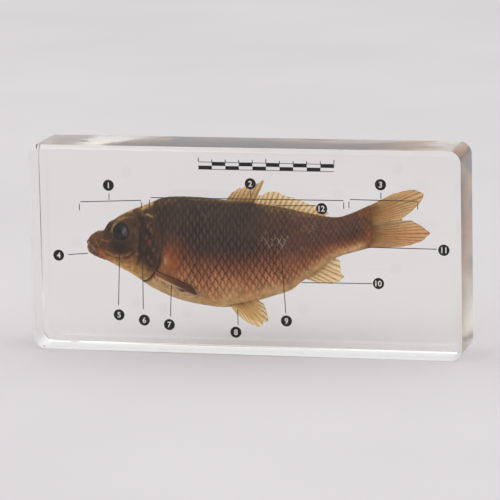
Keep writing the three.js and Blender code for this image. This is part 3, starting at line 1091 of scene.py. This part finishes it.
@dataclass
class Eyes:
    """Clouded eyes: a low dome with a dark pupil in a dark iris, clouded grey towards the rear."""

    shape: CarpShape
    radius: float = 3.3
    bulge: float = 1.4
    sink: float = 0.9
    rings: int = 40
    sides: int = 72
    pupil_to_rim: Stops = (
        (0.0, "#0d0b0c"), (0.42, "#100e10"), (0.5, "#232122"), (0.7, "#1a1819"), (0.86, "#120f0e"),
        (1.0, "#32261a"),
    )
    cloud: str = "#6c6862"
    gold_rim: str = "#8a7658"

    def build(self, finish: bpy.types.Material) -> bpy.types.Object:
        """Make both eyes as one piece.

        Args:
            finish: Eye material.

        Returns:
            The finished piece.
        """
        out = np.linspace(0.0, 1.0, self.rings)[:, None]
        turn = np.linspace(0, 2 * math.pi, self.sides, endpoint=False)[None, :]
        across = self.radius * out * np.cos(turn)
        over = self.radius * out * np.sin(turn)
        dome = self.bulge * np.sqrt(np.maximum(1 - out**2, 0)) + 0 * turn
        eye_x, eye_z = self.shape.eye
        base = self.shape.flank(np.array(eye_x), np.array(eye_z)) - self.sink
        colour = ramp(self.pupil_to_rim, out + 0.05 * ripple(51, across / 0.7, over / 0.7))
        colour = blend(colour, self.cloud, 0.75 * bell(across - 1.5, 0.9) * bell(over + 0.1, 1.5))
        upper_rim = smooth(0.9, 0.97, out) * smooth(0.5, 0.95, np.sin(turn - 1.0))
        colour = blend(colour, self.gold_rim, upper_rim)
        colour = colour * (1 + 0.5 * ripple(53, across / 0.5, over / 0.9))[..., None]
        points, faces = [], []
        for i, side in enumerate((-1, 1)):
            y = side * (base + dome)
            points.append(np.stack([eye_x + across, y, eye_z + over], -1).reshape(-1, 3))
            start = i * self.rings * self.sides
            faces += grid_quads(self.rings, self.sides, True, side > 0, start).tolist()
        piece = mesh_piece("carp_eyes", np.concatenate(points) + self.shape.origin(), faces, finish)
        tint_piece(piece, np.concatenate([colour.reshape(-1, 3)] * 2))
        return piece


class Seat(Enum):
    """How a fin is carried."""

    MID_PLANE = 0
    BELLY_NEAR = -1
    BELLY_FAR = 1
    FLANK_NEAR = -2
    FLANK_FAR = 2


@dataclass(frozen=True)
class Fin:
    """One fin: rays from a root line to a free edge, with thin web between them.

    Web, ray, base and tip are its colours. Cover is how solid the web is, at the root and the free edge.
    A fin with a crease has a dark fold along its middle ray and an orange lower lobe. A fin with a lead
    colour has pale lowest rays and a dark uppermost one.
    """

    name: str
    root: tuple[Point, ...]
    edge: tuple[Point, ...]
    rays: int
    web: str
    ray: str
    base: str
    tip: str
    seat: Seat = Seat.MID_PLANE
    half_root: float = 0.42
    half_tip: float = 0.14
    sway: float = 0.5
    cover: Point = (0.96, 0.72)
    ragged: float = 0.35
    fork_at: float = 0.4
    ray_points: int = 10
    rows: int = 56
    crease: float = 0.0
    lead: str = ""
    base_reach: float = 0.42
    edge_stain: str = "#7d6a55"
    crease_shade: str = "#6d543c"
    lobe_stain: str = "#ac5c14"
    upper_shade: str = "#36190c"

    def sideways(self, shape: CarpShape, x: np.ndarray, z: np.ndarray, out: np.ndarray) -> np.ndarray:
        """Sideways place of the fin's middle.

        Args:
            shape: The fish's form.
            x: Distances behind the snout.
            z: Heights.
            out: Share of the way from root to free edge.

        Returns:
            Sideways places.
        """
        side = math.copysign(1.0, self.seat.value)
        if self.seat is Seat.MID_PLANE:
            return self.sway * out**1.5 * np.sin(0.35 * x + 0.25 * z)
        if self.seat in (Seat.BELLY_NEAR, Seat.BELLY_FAR):
            return side * (2.4 + 0.3 * (-19 - z) + self.sway * out * np.sin(0.5 * x))
        return side * (shape.flank(x, z) + 0.3 + 0.8 * smooth(0, 0.4, out))

    def build(self, shape: CarpShape, finish: bpy.types.Material) -> bpy.types.Object:
        """Make the fin as a closed thin sheet with raised rays.

        Args:
            shape: The fish's form.
            finish: Fin material.

        Returns:
            The finished piece.
        """
        columns = self.rays * self.ray_points + 1
        root = even_spline(self.root, columns)
        edge = even_spline(self.edge, columns)
        place = np.linspace(0, self.rays, columns)
        reach = edge - root
        length = np.linalg.norm(reach, axis=1, keepdims=True)
        frill = self.ragged * ripple(len(self.name), place * 2.2, 0 * place)
        comb = -0.5 * self.ragged * np.abs(np.sin(math.pi * place)) ** 0.5
        edge = edge + reach / length * (frill + comb)[:, None]
        out = np.linspace(0, 1, self.rows)
        flat = root[:, None] + (edge - root)[:, None] * out[None, :, None]
        x, z = flat[..., 0], flat[..., 1]
        out = np.broadcast_to(out, x.shape)
        place = np.broadcast_to(place[:, None], x.shape)
        whole = np.sin(math.pi * place) ** 2
        split = np.sin(2 * math.pi * place) ** 2
        forked = smooth(self.fork_at - 0.1, self.fork_at + 0.15, out)
        ridge = np.clip(whole ** (3.5 + 3 * out) + 0.6 * forked * (split * (1 - whole)) ** 2, 0, 1)
        half = (self.half_root + (self.half_tip - self.half_root) * out) * (0.45 + 0.55 * ridge)
        rim = np.minimum(smooth(0, 1.2, place), smooth(0, 1.2, self.rays - place))
        half = half * (0.6 + 0.4 * rim) * (1 - 0.55 * smooth(0.94, 1.0, out))
        middle = self.sideways(shape, x, z, out)
        sheets = [np.stack([x, middle + face * half, z], -1).reshape(-1, 3) for face in (-1, 1)]
        points = np.concatenate(sheets) + shape.origin()
        piece = mesh_piece(self.name, points, self.faces(columns), finish)
        colour, cover = self.paint(place, out, ridge)
        both_sheets = np.concatenate([colour.reshape(-1, 3)] * 2)
        tint_piece(piece, both_sheets, np.concatenate([cover.ravel()] * 2))
        return piece

    def faces(self, columns: int) -> list[list[int]]:
        """Faces of the near sheet, the far sheet and the rim between them.

        Args:
            columns: Number of columns of points along the fin.

        Returns:
            Point numbers of each face.
        """
        count = columns * self.rows
        near = grid_quads(columns, self.rows, False, True).tolist()
        far = grid_quads(columns, self.rows, False, False, count).tolist()
        number = np.arange(count).reshape(columns, self.rows)
        rim = np.concatenate([number[:, 0], number[-1, 1:], number[-2::-1, -1], number[0, -2:0:-1]])
        after = np.roll(rim, -1)
        band = np.stack([rim, after, after + count, rim + count], -1).tolist()
        return near + far + band

    def paint(
        self, place: np.ndarray, out: np.ndarray, ridge: np.ndarray
    ) -> tuple[np.ndarray, np.ndarray]:
        """Colour and solidity of the fin.

        Args:
            place: Number of rays passed along the fin.
            out: Share of the way from root to free edge.
            ridge: How much of a ray is there, 0 to 1.

        Returns:
            Linear colours, and how solid the fin is.
        """
        cloud = ripple(60 + self.rays, place / 1.5, out * 4)
        colour = np.broadcast_to(np.array(linear(self.web)[:3]), (*place.shape, 3))
        colour = blend(colour, self.tip, smooth(0.45, 1.0, out + 0.08 * cloud))
        colour = blend(colour, self.ray, 0.9 * ridge * (1 - 0.35 * out))
        colour = blend(colour, self.base, smooth(self.base_reach, 0.05, out + 0.05 * cloud) * 0.9)
        colour = blend(colour, self.edge_stain, 0.5 * smooth(0.955, 0.99, out))
        down = place / self.rays
        colour = blend(colour, self.crease_shade, self.crease * bell(np.abs(down - 0.5), 0.035))
        low_lobe = smooth(0.5, 0.66, down) * smooth(0.15, 0.85, out)
        colour = blend(colour, self.lobe_stain, self.crease * 0.9 * low_lobe)
        solid = self.cover[0] + (self.cover[1] - self.cover[0]) * smooth(0.1, 1.0, out)
        cover = np.clip(solid + (0.9 - solid) * ridge, 0, 1)
        cover = np.maximum(cover, 0.98 * smooth(0.4, 0.18, out + 0.03 * cloud))
        if self.lead:
            inner = smooth(0.9, 0.5, out)
            colour = blend(colour, self.lead, smooth(self.rays - 2.8, self.rays - 1.6, place) * inner)
            colour = blend(colour, self.upper_shade, 0.85 * smooth(1.6, 0.5, place) * inner)
        return colour, cover


PELVIC_FIN = Fin(
    name="pelvic_fin_near",
    root=((61, -19), (57, -19.6), (53, -20.2)),
    edge=((65, -20.6), (66.4, -24), (66.7, -27), (66, -28.5), (63.6, -28.6), (60, -27.1), (56.4, -24.6)),
    rays=9,
    web="#eac27a",
    ray="#744412",
    base="#8e5626",
    tip="#f0d8a4",
    cover=(0.5, 0.1),
    seat=Seat.BELLY_NEAR,
)

PECTORAL_FIN = Fin(
    name="pectoral_fin_near",
    root=((26.4, -8.2), (27.2, -10.2), (28.0, -12.0)),
    edge=((38.1, -12.6), (41.4, -14.2), (42.4, -15.6), (41.7, -16.9), (37.6, -16.6)),
    rays=7,
    web="#6a3c1c",
    ray="#2e1508",
    base="#9c6238",
    tip="#5a3214",
    lead="#e0bc94",
    base_reach=0.7,
    ragged=0.7,
    half_root=0.4,
    half_tip=0.25,
    cover=(1.0, 1.0),
    seat=Seat.FLANK_NEAR,
)

FINS: tuple[Fin, ...] = (
    Fin(
        name="dorsal_fin_front",
        root=((51.6, 15.6), (57, 15.2), (62.4, 14.6)),
        edge=((55, 19.9), (59.1, 22.2), (63.2, 23.2), (67.4, 24.6)),
        rays=7,
        web="#c49a5a",
        ray="#4e2e10",
        base="#583a20",
        tip="#cca870",
        sway=0.8,
        ragged=0.5,
        cover=(0.66, 0.25),
    ),
    Fin(
        name="dorsal_fin_rear",
        root=((62, 14.6), (75, 12.8), (87.5, 10.8)),
        edge=((64.4, 18.7), (70.4, 20.7), (76, 18.8), (82.7, 16.8), (88.6, 15.1), (91.1, 13)),
        rays=15,
        web="#e0c080",
        ray="#6e4418",
        base="#805428",
        tip="#e4cc98",
        sway=0.6,
        ragged=0.3,
        cover=(0.45, 0.1),
    ),
    Fin(
        name="tail_fin",
        root=((103.4, 15.0), (104, 8.5), (103.4, 1.0)),
        edge=(
            (114, 20.5), (118.4, 21.7), (121.7, 22.3), (124.4, 21.5), (125.2, 19.2), (121.4, 14.7),
            (117.5, 11.3), (121.2, 10.8), (125.5, 8.4), (127.4, 6.4), (125.5, 4.2), (121.8, 2.5),
            (116, 1.2), (110.5, 0.9),
        ),
        rays=28,
        web="#bc8840",
        ray="#573408",
        base="#74481f",
        tip="#c89850",
        sway=0.7,
        crease=0.75,
        ragged=0.25,
        cover=(0.7, 0.32),
    ),
    Fin(
        name="anal_fin",
        root=((90.6, -2.8), (85.2, -6.8), (80, -10.8)),
        edge=((93.6, -3.6), (94.9, -5.5), (94.5, -8.2), (95.9, -10), (92.7, -12.4), (86.5, -12.8)),
        rays=8,
        web="#eccb8e",
        ray="#7e4e1c",
        base="#c89a5c",
        tip="#eaca96",
        sway=0.4,
        cover=(0.45, 0.1),
    ),
    PELVIC_FIN,
    replace(PELVIC_FIN, name="pelvic_fin_far", seat=Seat.BELLY_FAR),
    PECTORAL_FIN,
    replace(PECTORAL_FIN, name="pectoral_fin_far", seat=Seat.FLANK_FAR),
)


@dataclass
class ResinBlock:
    """The clear block: a rounded rectangle with a wide front bevel, a fine rear one and satin edges."""

    corner_radius: float = 4.5
    bevel: float = 1.5
    rear_bevel: float = 0.3
    softness: float = 0.15
    corner_steps: int = 14
    edge_satin: float = 0.17
    sharp_from: float = 25.0

    def build(self, finish: bpy.types.Material) -> bpy.types.Object:
        """Make the block as one closed piece in the place of both pours.

        Args:
            finish: Clear material.

        Returns:
            The finished piece.
        """
        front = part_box("block_front")[0]
        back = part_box("block_back")[1]
        profile = self.profile(front.y / MM, back.y / MM)
        loops = [self.outline(back.x / MM, back.z / MM, inset, y) for inset, y in profile]
        columns = len(loops[0])
        grid = np.concatenate(loops)
        faces = grid_quads(len(loops), columns, True, True).tolist()
        last = (len(loops) - 1) * columns
        faces.append(list(range(columns)))
        faces.append([last + c for c in range(columns)][::-1])
        piece = mesh_piece("resin_block", grid, faces, finish)
        piece.data.set_sharp_from_angle(angle=math.radians(self.sharp_from))
        piece.visible_shadow = False
        satin = [self.edge_satin if abs(face.normal.y) < 0.3 else 0.0 for face in piece.data.polygons]
        layer = piece.data.attributes.new("satin", "FLOAT", "FACE")
        layer.data.foreach_set("value", satin)
        return piece

    def profile(self, front: float, back: float) -> list[Point]:
        """Bevel profile from the front face to the back face.

        Args:
            front: Depth of the front face.
            back: Depth of the back face.

        Returns:
            Steps of an inset and a depth.
        """
        near = [(inset, front + y) for inset, y in self.edge(self.bevel)]
        far = [(inset, back - y) for inset, y in self.edge(self.rear_bevel)[::-1]]
        return near + far

    def edge(self, bevel: float) -> list[Point]:
        """One bevel with its two soft arrises, as (inset, depth) steps."""
        soft = self.softness
        return [
            (bevel + soft, 0.0), (bevel, 0.06 * soft), (bevel - 0.7 * soft, 0.7 * soft),
            (0.7 * soft, bevel - 0.7 * soft), (0.06 * soft, bevel), (0.0, bevel + soft),
        ]

    def outline(self, half_length: float, height: float, inset: float, y: float) -> np.ndarray:
        """One loop of the block's outline.

        Args:
            half_length: Half the block's length.
            height: The block's height.
            inset: How far the loop is drawn in.
            y: Depth of the loop.

        Returns:
            Points of the loop.
        """
        radius = self.corner_radius - inset
        right = half_length - self.corner_radius
        low = self.corner_radius
        high = height - self.corner_radius
        quarter = np.linspace(0, math.pi / 2, self.corner_steps)
        corners = (
            (right, low, -math.pi / 2),
            (right, high, 0),
            (-right, high, math.pi / 2),
            (-right, low, math.pi),
        )
        loop = [
            (x + radius * math.cos(start + a), y, z + radius * math.sin(start + a))
            for x, z, start in corners
            for a in quarter
        ]
        return np.array(loop)


@dataclass(frozen=True)
class Label:
    """One numbered disc and the straight strokes that lead from it."""

    number: int
    disc: Point
    strokes: tuple[tuple[Point, Point], ...]


def bracket(number: int, disc: Point, left: Point, right: Point, tick: float, stub: float) -> Label:
    """A numbered bracket that spans a stretch of the fish.

    Args:
        number: Number in the disc.
        disc: Middle of the disc.
        left: Left end of the bracket.
        right: Right end of the bracket.
        tick: Length of the end ticks.
        stub: Height of the stroke that joins disc and bracket.

    Returns:
        The label.
    """
    foot = left[1] + (right[1] - left[1]) * (disc[0] - left[0]) / (right[0] - left[0])
    stem = disc[0] + 0.1
    left_x, left_top = left[0] - 0.4, left[1] - 0.8
    right_x, right_top = right[0] + 0.1, right[1] - 0.6
    return Label(number, disc, (
        (left, right),
        ((left_x, left_top), (left_x, left_top - tick)),
        ((right_x, right_top), (right_x, right_top - tick)),
        ((stem, foot + stub), (stem, foot + 0.5)),
    ))


LABELS: tuple[Label, ...] = (
    bracket(1, (-49.9, 61.2), (-60.7, 54.9), (-37.7, 55.9), 2.4, 2.7),
    bracket(2, (3.1, 62.8), (-34.2, 57.0), (37.2, 57.4), 2.5, 2.9),
    bracket(3, (50.8, 63.4), (39.6, 57.8), (64.1, 57.7), 2.4, 2.8),
    Label(4, (-69.5, 34.9), (((-65.9, 35.2), (-58.3, 35.9)),)),
    Label(5, (-47.2, 13.3), (((-46.1, 42.6), (-47.3, 16.9)),)),
    Label(6, (-37.7, 11.6), (((-37.6, 45.0), (-38.0, 15.6)),)),
    Label(7, (-28.3, 10.2), (((-27.2, 25.1), (-27.8, 13.2)),)),
    Label(8, (-3.4, 8.1), (((-2.6, 16.6), (-2.5, 10.8)),)),
    Label(9, (15.5, 12.8), (((14.0, 38.9), (15.3, 15.6)),)),
    Label(10, (49.6, 27.5), (((21.4, 27.1), (47.2, 27.4)),)),
    Label(11, (73.5, 40.2), (((46.2, 40.6), (71.0, 40.5)),)),
    Label(12, (29.2, 54.3), (((12.4, 55.0), (26.8, 55.3)),)),
)


@dataclass
class FilmPrint:
    """Print on the film: numbered discs, leader lines and a plain scale bar.

    The film itself is not drawn, because it vanishes in the resin.
    """

    disc_radius: float = 2.05
    disc_sides: int = 64
    stroke: float = 0.3
    ink: float = 0.03
    disc_lift: float = 0.05
    numeral: float = 2.9
    bold: float = 0.055
    bar_left: Point = (-16.0, 67.9)
    bar_length: float = 50.0
    bar_cells: int = 10
    bar_height: float = 2.4
    bar_rule: float = 0.22
    tick_width: float = 0.3
    long_tick: float = 1.5
    short_tick: float = 0.9

    def plane(self) -> float:
        """Depth of the film's printed face."""
        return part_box("label_film")[0].y / MM

    def slab(self, outline: np.ndarray, depth: float) -> Slab:
        """A printed patch: a thin closed slab of ink.

        Args:
            outline: Corners seen from the front, anticlockwise.
            depth: Distance of its face in front of the film.

        Returns:
            Points and faces.
        """
        count = len(outline)
        y = np.full(count, self.plane() - depth - self.ink)
        face = np.column_stack([outline[:, 0], y, outline[:, 1]])
        rear = face + [0.0, self.ink, 0.0]
        ring = np.arange(count)
        after = np.roll(ring, -1)
        sides = np.stack([ring, ring + count, after + count, after], -1).tolist()
        return np.concatenate([face, rear]), [ring.tolist(), (ring[::-1] + count).tolist(), *sides]

    def joined(self, name: str, slabs: list[Slab], finish: bpy.types.Material) -> bpy.types.Object:
        """Join printed patches in one piece.

        Args:
            name: Name of the piece.
            slabs: The patches.
            finish: Ink.

        Returns:
            The finished piece.
        """
        points, faces = [], []
        for corners, sides in slabs:
            start = sum(len(p) for p in points)
            points.append(corners)
            faces += [[start + c for c in side] for side in sides]
        return mesh_piece(name, np.concatenate(points), faces, finish, smooth_faces=False)

    def discs(self, finish: bpy.types.Material) -> bpy.types.Object:
        """Print the black discs.

        Args:
            finish: Ink.

        Returns:
            The finished piece.
        """
        turn = np.linspace(0, 2 * math.pi, self.disc_sides, endpoint=False)
        circle = self.disc_radius * np.column_stack([np.cos(turn), np.sin(turn)])
        slabs = [self.slab(circle + label.disc, self.disc_lift) for label in LABELS]
        return self.joined("number_discs", slabs, finish)

    def leaders(self, finish: bpy.types.Material) -> bpy.types.Object:
        """Print the leader lines and brackets.

        Args:
            finish: Ink.

        Returns:
            The finished piece.
        """
        slabs = []
        for label in LABELS:
            for start, end in label.strokes:
                ahead = np.subtract(end, start)
                beside = np.array([-ahead[1], ahead[0]]) / np.hypot(*ahead) * self.stroke / 2
                corners = np.array([start - beside, end - beside, end + beside, start + beside])
                slabs.append(self.slab(corners, 0.0))
        return self.joined("leader_lines", slabs, finish)

    def scale_bar(self, finish: bpy.types.Material) -> bpy.types.Object:
        """Print a plain scale bar: filled cells by turns, between two rules, with a tick at each cell.

        Args:
            finish: Ink.

        Returns:
            The finished piece.
        """
        left, low = self.bar_left
        cell = self.bar_length / self.bar_cells
        slabs = []
        for i in range(self.bar_cells):
            base = low + (i % 2) * self.bar_height / 2
            slabs.append(self.rectangle(left + i * cell, base, cell, self.bar_height / 2))
        for base in (low - self.bar_rule, low + self.bar_height):
            slabs.append(self.rectangle(left, base, self.bar_length, self.bar_rule))
        top = low + self.bar_height + self.bar_rule
        for i in range(self.bar_cells + 1):
            tick = self.long_tick if i % 5 == 0 else self.short_tick
            place = left + i * cell - self.tick_width / 2
            slabs.append(self.rectangle(place, top, self.tick_width, tick))
        return self.joined("scale_bar", slabs, finish)

    def rectangle(self, left: float, low: float, width: float, height: float) -> Slab:
        """A printed rectangle, from its lower left corner."""
        corners = [(left, low), (left + width, low), (left + width, low + height), (left, low + height)]
        return self.slab(np.array(corners), 0.0)

    def numerals(self, finish: bpy.types.Material) -> bpy.types.Object:
        """Print the white numerals, from Blender's own plain typeface.

        Args:
            finish: Ink.

        Returns:
            The finished piece.
        """
        points, faces = [], []
        for label in LABELS:
            text = bpy.data.curves.new(f"numeral_{label.number}", "FONT")
            text.body = str(label.number)
            text.align_x = "CENTER"
            text.align_y = "CENTER"
            text.size = self.numeral
            text.offset = self.bold
            text.extrude = self.ink / 2
            text.resolution_u = 4
            carrier = bpy.data.objects.new(text.name, text)
            bpy.context.scene.collection.objects.link(carrier)
            evaluated = carrier.evaluated_get(bpy.context.evaluated_depsgraph_get())
            drawn = bpy.data.meshes.new_from_object(evaluated)
            flat = np.array([v.co for v in drawn.vertices])
            flat = flat - (flat.min(0) + flat.max(0)) / 2
            x, z = label.disc
            depth = self.plane() - self.disc_lift - 2.5 * self.ink
            start = sum(len(p) for p in points)
            points.append(np.column_stack([x + flat[:, 0], depth - flat[:, 2], z + flat[:, 1]]))
            faces += [[start + c for c in side.vertices] for side in drawn.polygons]
            bpy.data.objects.remove(carrier)
            bpy.data.meshes.remove(drawn)
            bpy.data.curves.remove(text)
        return mesh_piece("numerals", np.concatenate(points), faces, finish, smooth_faces=False)


@dataclass
class Studio:
    """Pale paper floor, soft light and the camera. The key box is given in metres and watts."""

    floor_half: float = 4000.0
    floor_steps: int = 9
    floor_drop: float = 0.1
    azimuth: float = 13.656
    elevation: float = 10.704
    roll: float = -1.183
    distance: float = 1273.6
    target: Point3 = (0.05, 0.0, 36.6)
    focal_px: float = 3500.0
    image_px: float = 500.0
    sensor: float = 36.0
    horizon: str = "#e9e9ee"
    zenith: str = "#fffdf8"
    sky_strength: Point = (0.84, 1.5)
    key_place: Point3 = (-0.7, -1.6, 2.2)
    key_size: float = 2.4
    key_watts: float = 24.0
    light_bounces: int = 32

    def floor(self) -> None:
        """Lay the paper floor, which fills the view."""
        steps = np.linspace(-self.floor_half, self.floor_half, self.floor_steps)
        x, y = np.meshgrid(steps, steps, indexing="ij")
        points = np.stack([x, y, np.full(x.shape, -self.floor_drop)], -1).reshape(-1, 3)
        faces = grid_quads(self.floor_steps, self.floor_steps, False, True)
        paper = mesh_piece("paper_floor", points, faces, StudioPaper().material())

    def light(self) -> None:
        """Light the set: an even pale sky and a large soft box over the front."""
        world = bpy.data.worlds.new("soft_sky")
        bpy.context.scene.world = world
        world.use_nodes = True
        tree = world.node_tree
        sky = tree.nodes["Background"]
        place = add_node(tree, "ShaderNodeTexCoord").outputs["Generated"]
        height = add_node(tree, "ShaderNodeSeparateXYZ", {"Vector": place}).outputs["Z"]
        colour = add_node(tree, "ShaderNodeValToRGB", {"Fac": height}, (
            (0.1, self.horizon), (0.9, self.zenith),
        ))
        low, high = self.sky_strength
        strength = add_node(tree, "ShaderNodeMapRange", {
            "Value": height, "From Min": 0.15, "From Max": 0.95, "To Min": low, "To Max": high,
        })
        tree.links.new(colour.outputs["Color"], sky.inputs["Color"])
        tree.links.new(strength.outputs["Result"], sky.inputs["Strength"])
        self.key_box()

    def key_box(self) -> None:
        """Hang the square soft box that looks at the block."""
        lamp = bpy.data.lights.new("key_box", "AREA")
        lamp.shape = "SQUARE"
        lamp.size = self.key_size
        lamp.energy = self.key_watts
        place = Vector(self.key_place)
        carrier = bpy.data.objects.new("key_box", lamp)
        carrier.location = place
        carrier.rotation_euler = (Vector(self.target) * MM - place).to_track_quat("-Z", "Y").to_euler()
        bpy.context.scene.collection.objects.link(carrier)

    def camera(self) -> None:
        """Set the camera at the photograph's angle, distance, lens and slight roll."""
        azimuth, elevation = math.radians(self.azimuth), math.radians(self.elevation)
        back = Vector((
            math.sin(azimuth) * math.cos(elevation),
            -math.cos(azimuth) * math.cos(elevation),
            math.sin(elevation),
        ))
        level = (-back).cross(Vector((0, 0, 1))).normalized()
        upright = level.cross(-back)
        turn = math.radians(self.roll)
        right = level * math.cos(turn) + upright * math.sin(turn)
        up = upright * math.cos(turn) - level * math.sin(turn)
        place = (Vector(self.target) + back * self.distance) * MM
        camera = bpy.data.cameras.new("camera")
        camera.sensor_width = self.sensor
        camera.lens = self.focal_px * self.sensor / self.image_px
        camera.clip_start = 0.05
        camera.clip_end = 50.0
        carrier = bpy.data.objects.new("camera", camera)
        columns = Matrix((right, up, back)).transposed().to_4x4()
        carrier.matrix_world = Matrix.Translation(place) @ columns
        bpy.context.scene.collection.objects.link(carrier)
        bpy.context.scene.camera = carrier

    def develop(self) -> None:
        """Show colours as they are, and let light cross the block as often as a long clear bar needs."""
        scene = bpy.context.scene
        scene.view_settings.view_transform = "Standard"
        scene.cycles.max_bounces = self.light_bounces
        scene.cycles.transmission_bounces = self.light_bounces
        scene.cycles.glossy_bounces = self.light_bounces


def build_fish() -> None:
    """Dress the carp: body, head, lips, eyes and fins."""
    shape = CarpShape()
    skin = PreservedSkin("preserved_carp_skin").material()
    bare_skin = PreservedSkin("preserved_head_skin", mottle_mm=1.5, mottle_depth=0.5).material()
    fin_skin = PreservedSkin(
        "fin_web", mottle_mm=1.2, mottle_depth=0.16, bump_mm=0.02, stain="#fff3da",
    ).material()
    eye_skin = PreservedSkin(
        "clouded_eye", mottle_mm=0.9, mottle_depth=0.2, roughness=0.35, specular=0.04,
    ).material()
    pieces = [
        CarpBody(shape).build(skin),
        CarpHead(shape).build(bare_skin),
        Lips(shape).build(bare_skin),
        Eyes(shape).build(eye_skin),
        *(fin.build(shape, fin_skin) for fin in FINS),
    ]
    for piece in pieces:
        enlist(piece, "carp_skin", "carp")


def build_print() -> None:
    """Dress the label film with its print."""
    black = ScreenInk("black_screen_ink", "#060505", "#020202").material()
    grey = ScreenInk("thin_black_line_ink", "#3a3837", "#262424").material()
    white = ScreenInk("white_screen_ink", "#f4f2ee", "#e6e3dd").material()
    film = FilmPrint()
    for piece in (film.discs(black), film.numerals(white), film.leaders(grey), film.scale_bar(black)):
        enlist(piece, "printed_film", "label_film")


def build_block() -> None:
    """Cast the clear block around everything."""
    enlist(ResinBlock().build(CastAcrylic().material()), "clear_acrylic", "block_front", "block_back")


def main() -> None:
    """Build the fish, the print, the block and the studio."""
    logging.basicConfig(level=logging.INFO, format="%(name)s: %(message)s")
    studio = Studio()
    studio.camera()
    build_fish()
    build_print()
    build_block()
    studio.floor()
    studio.light()
    studio.develop()


if __name__ == "__main__":
    main()
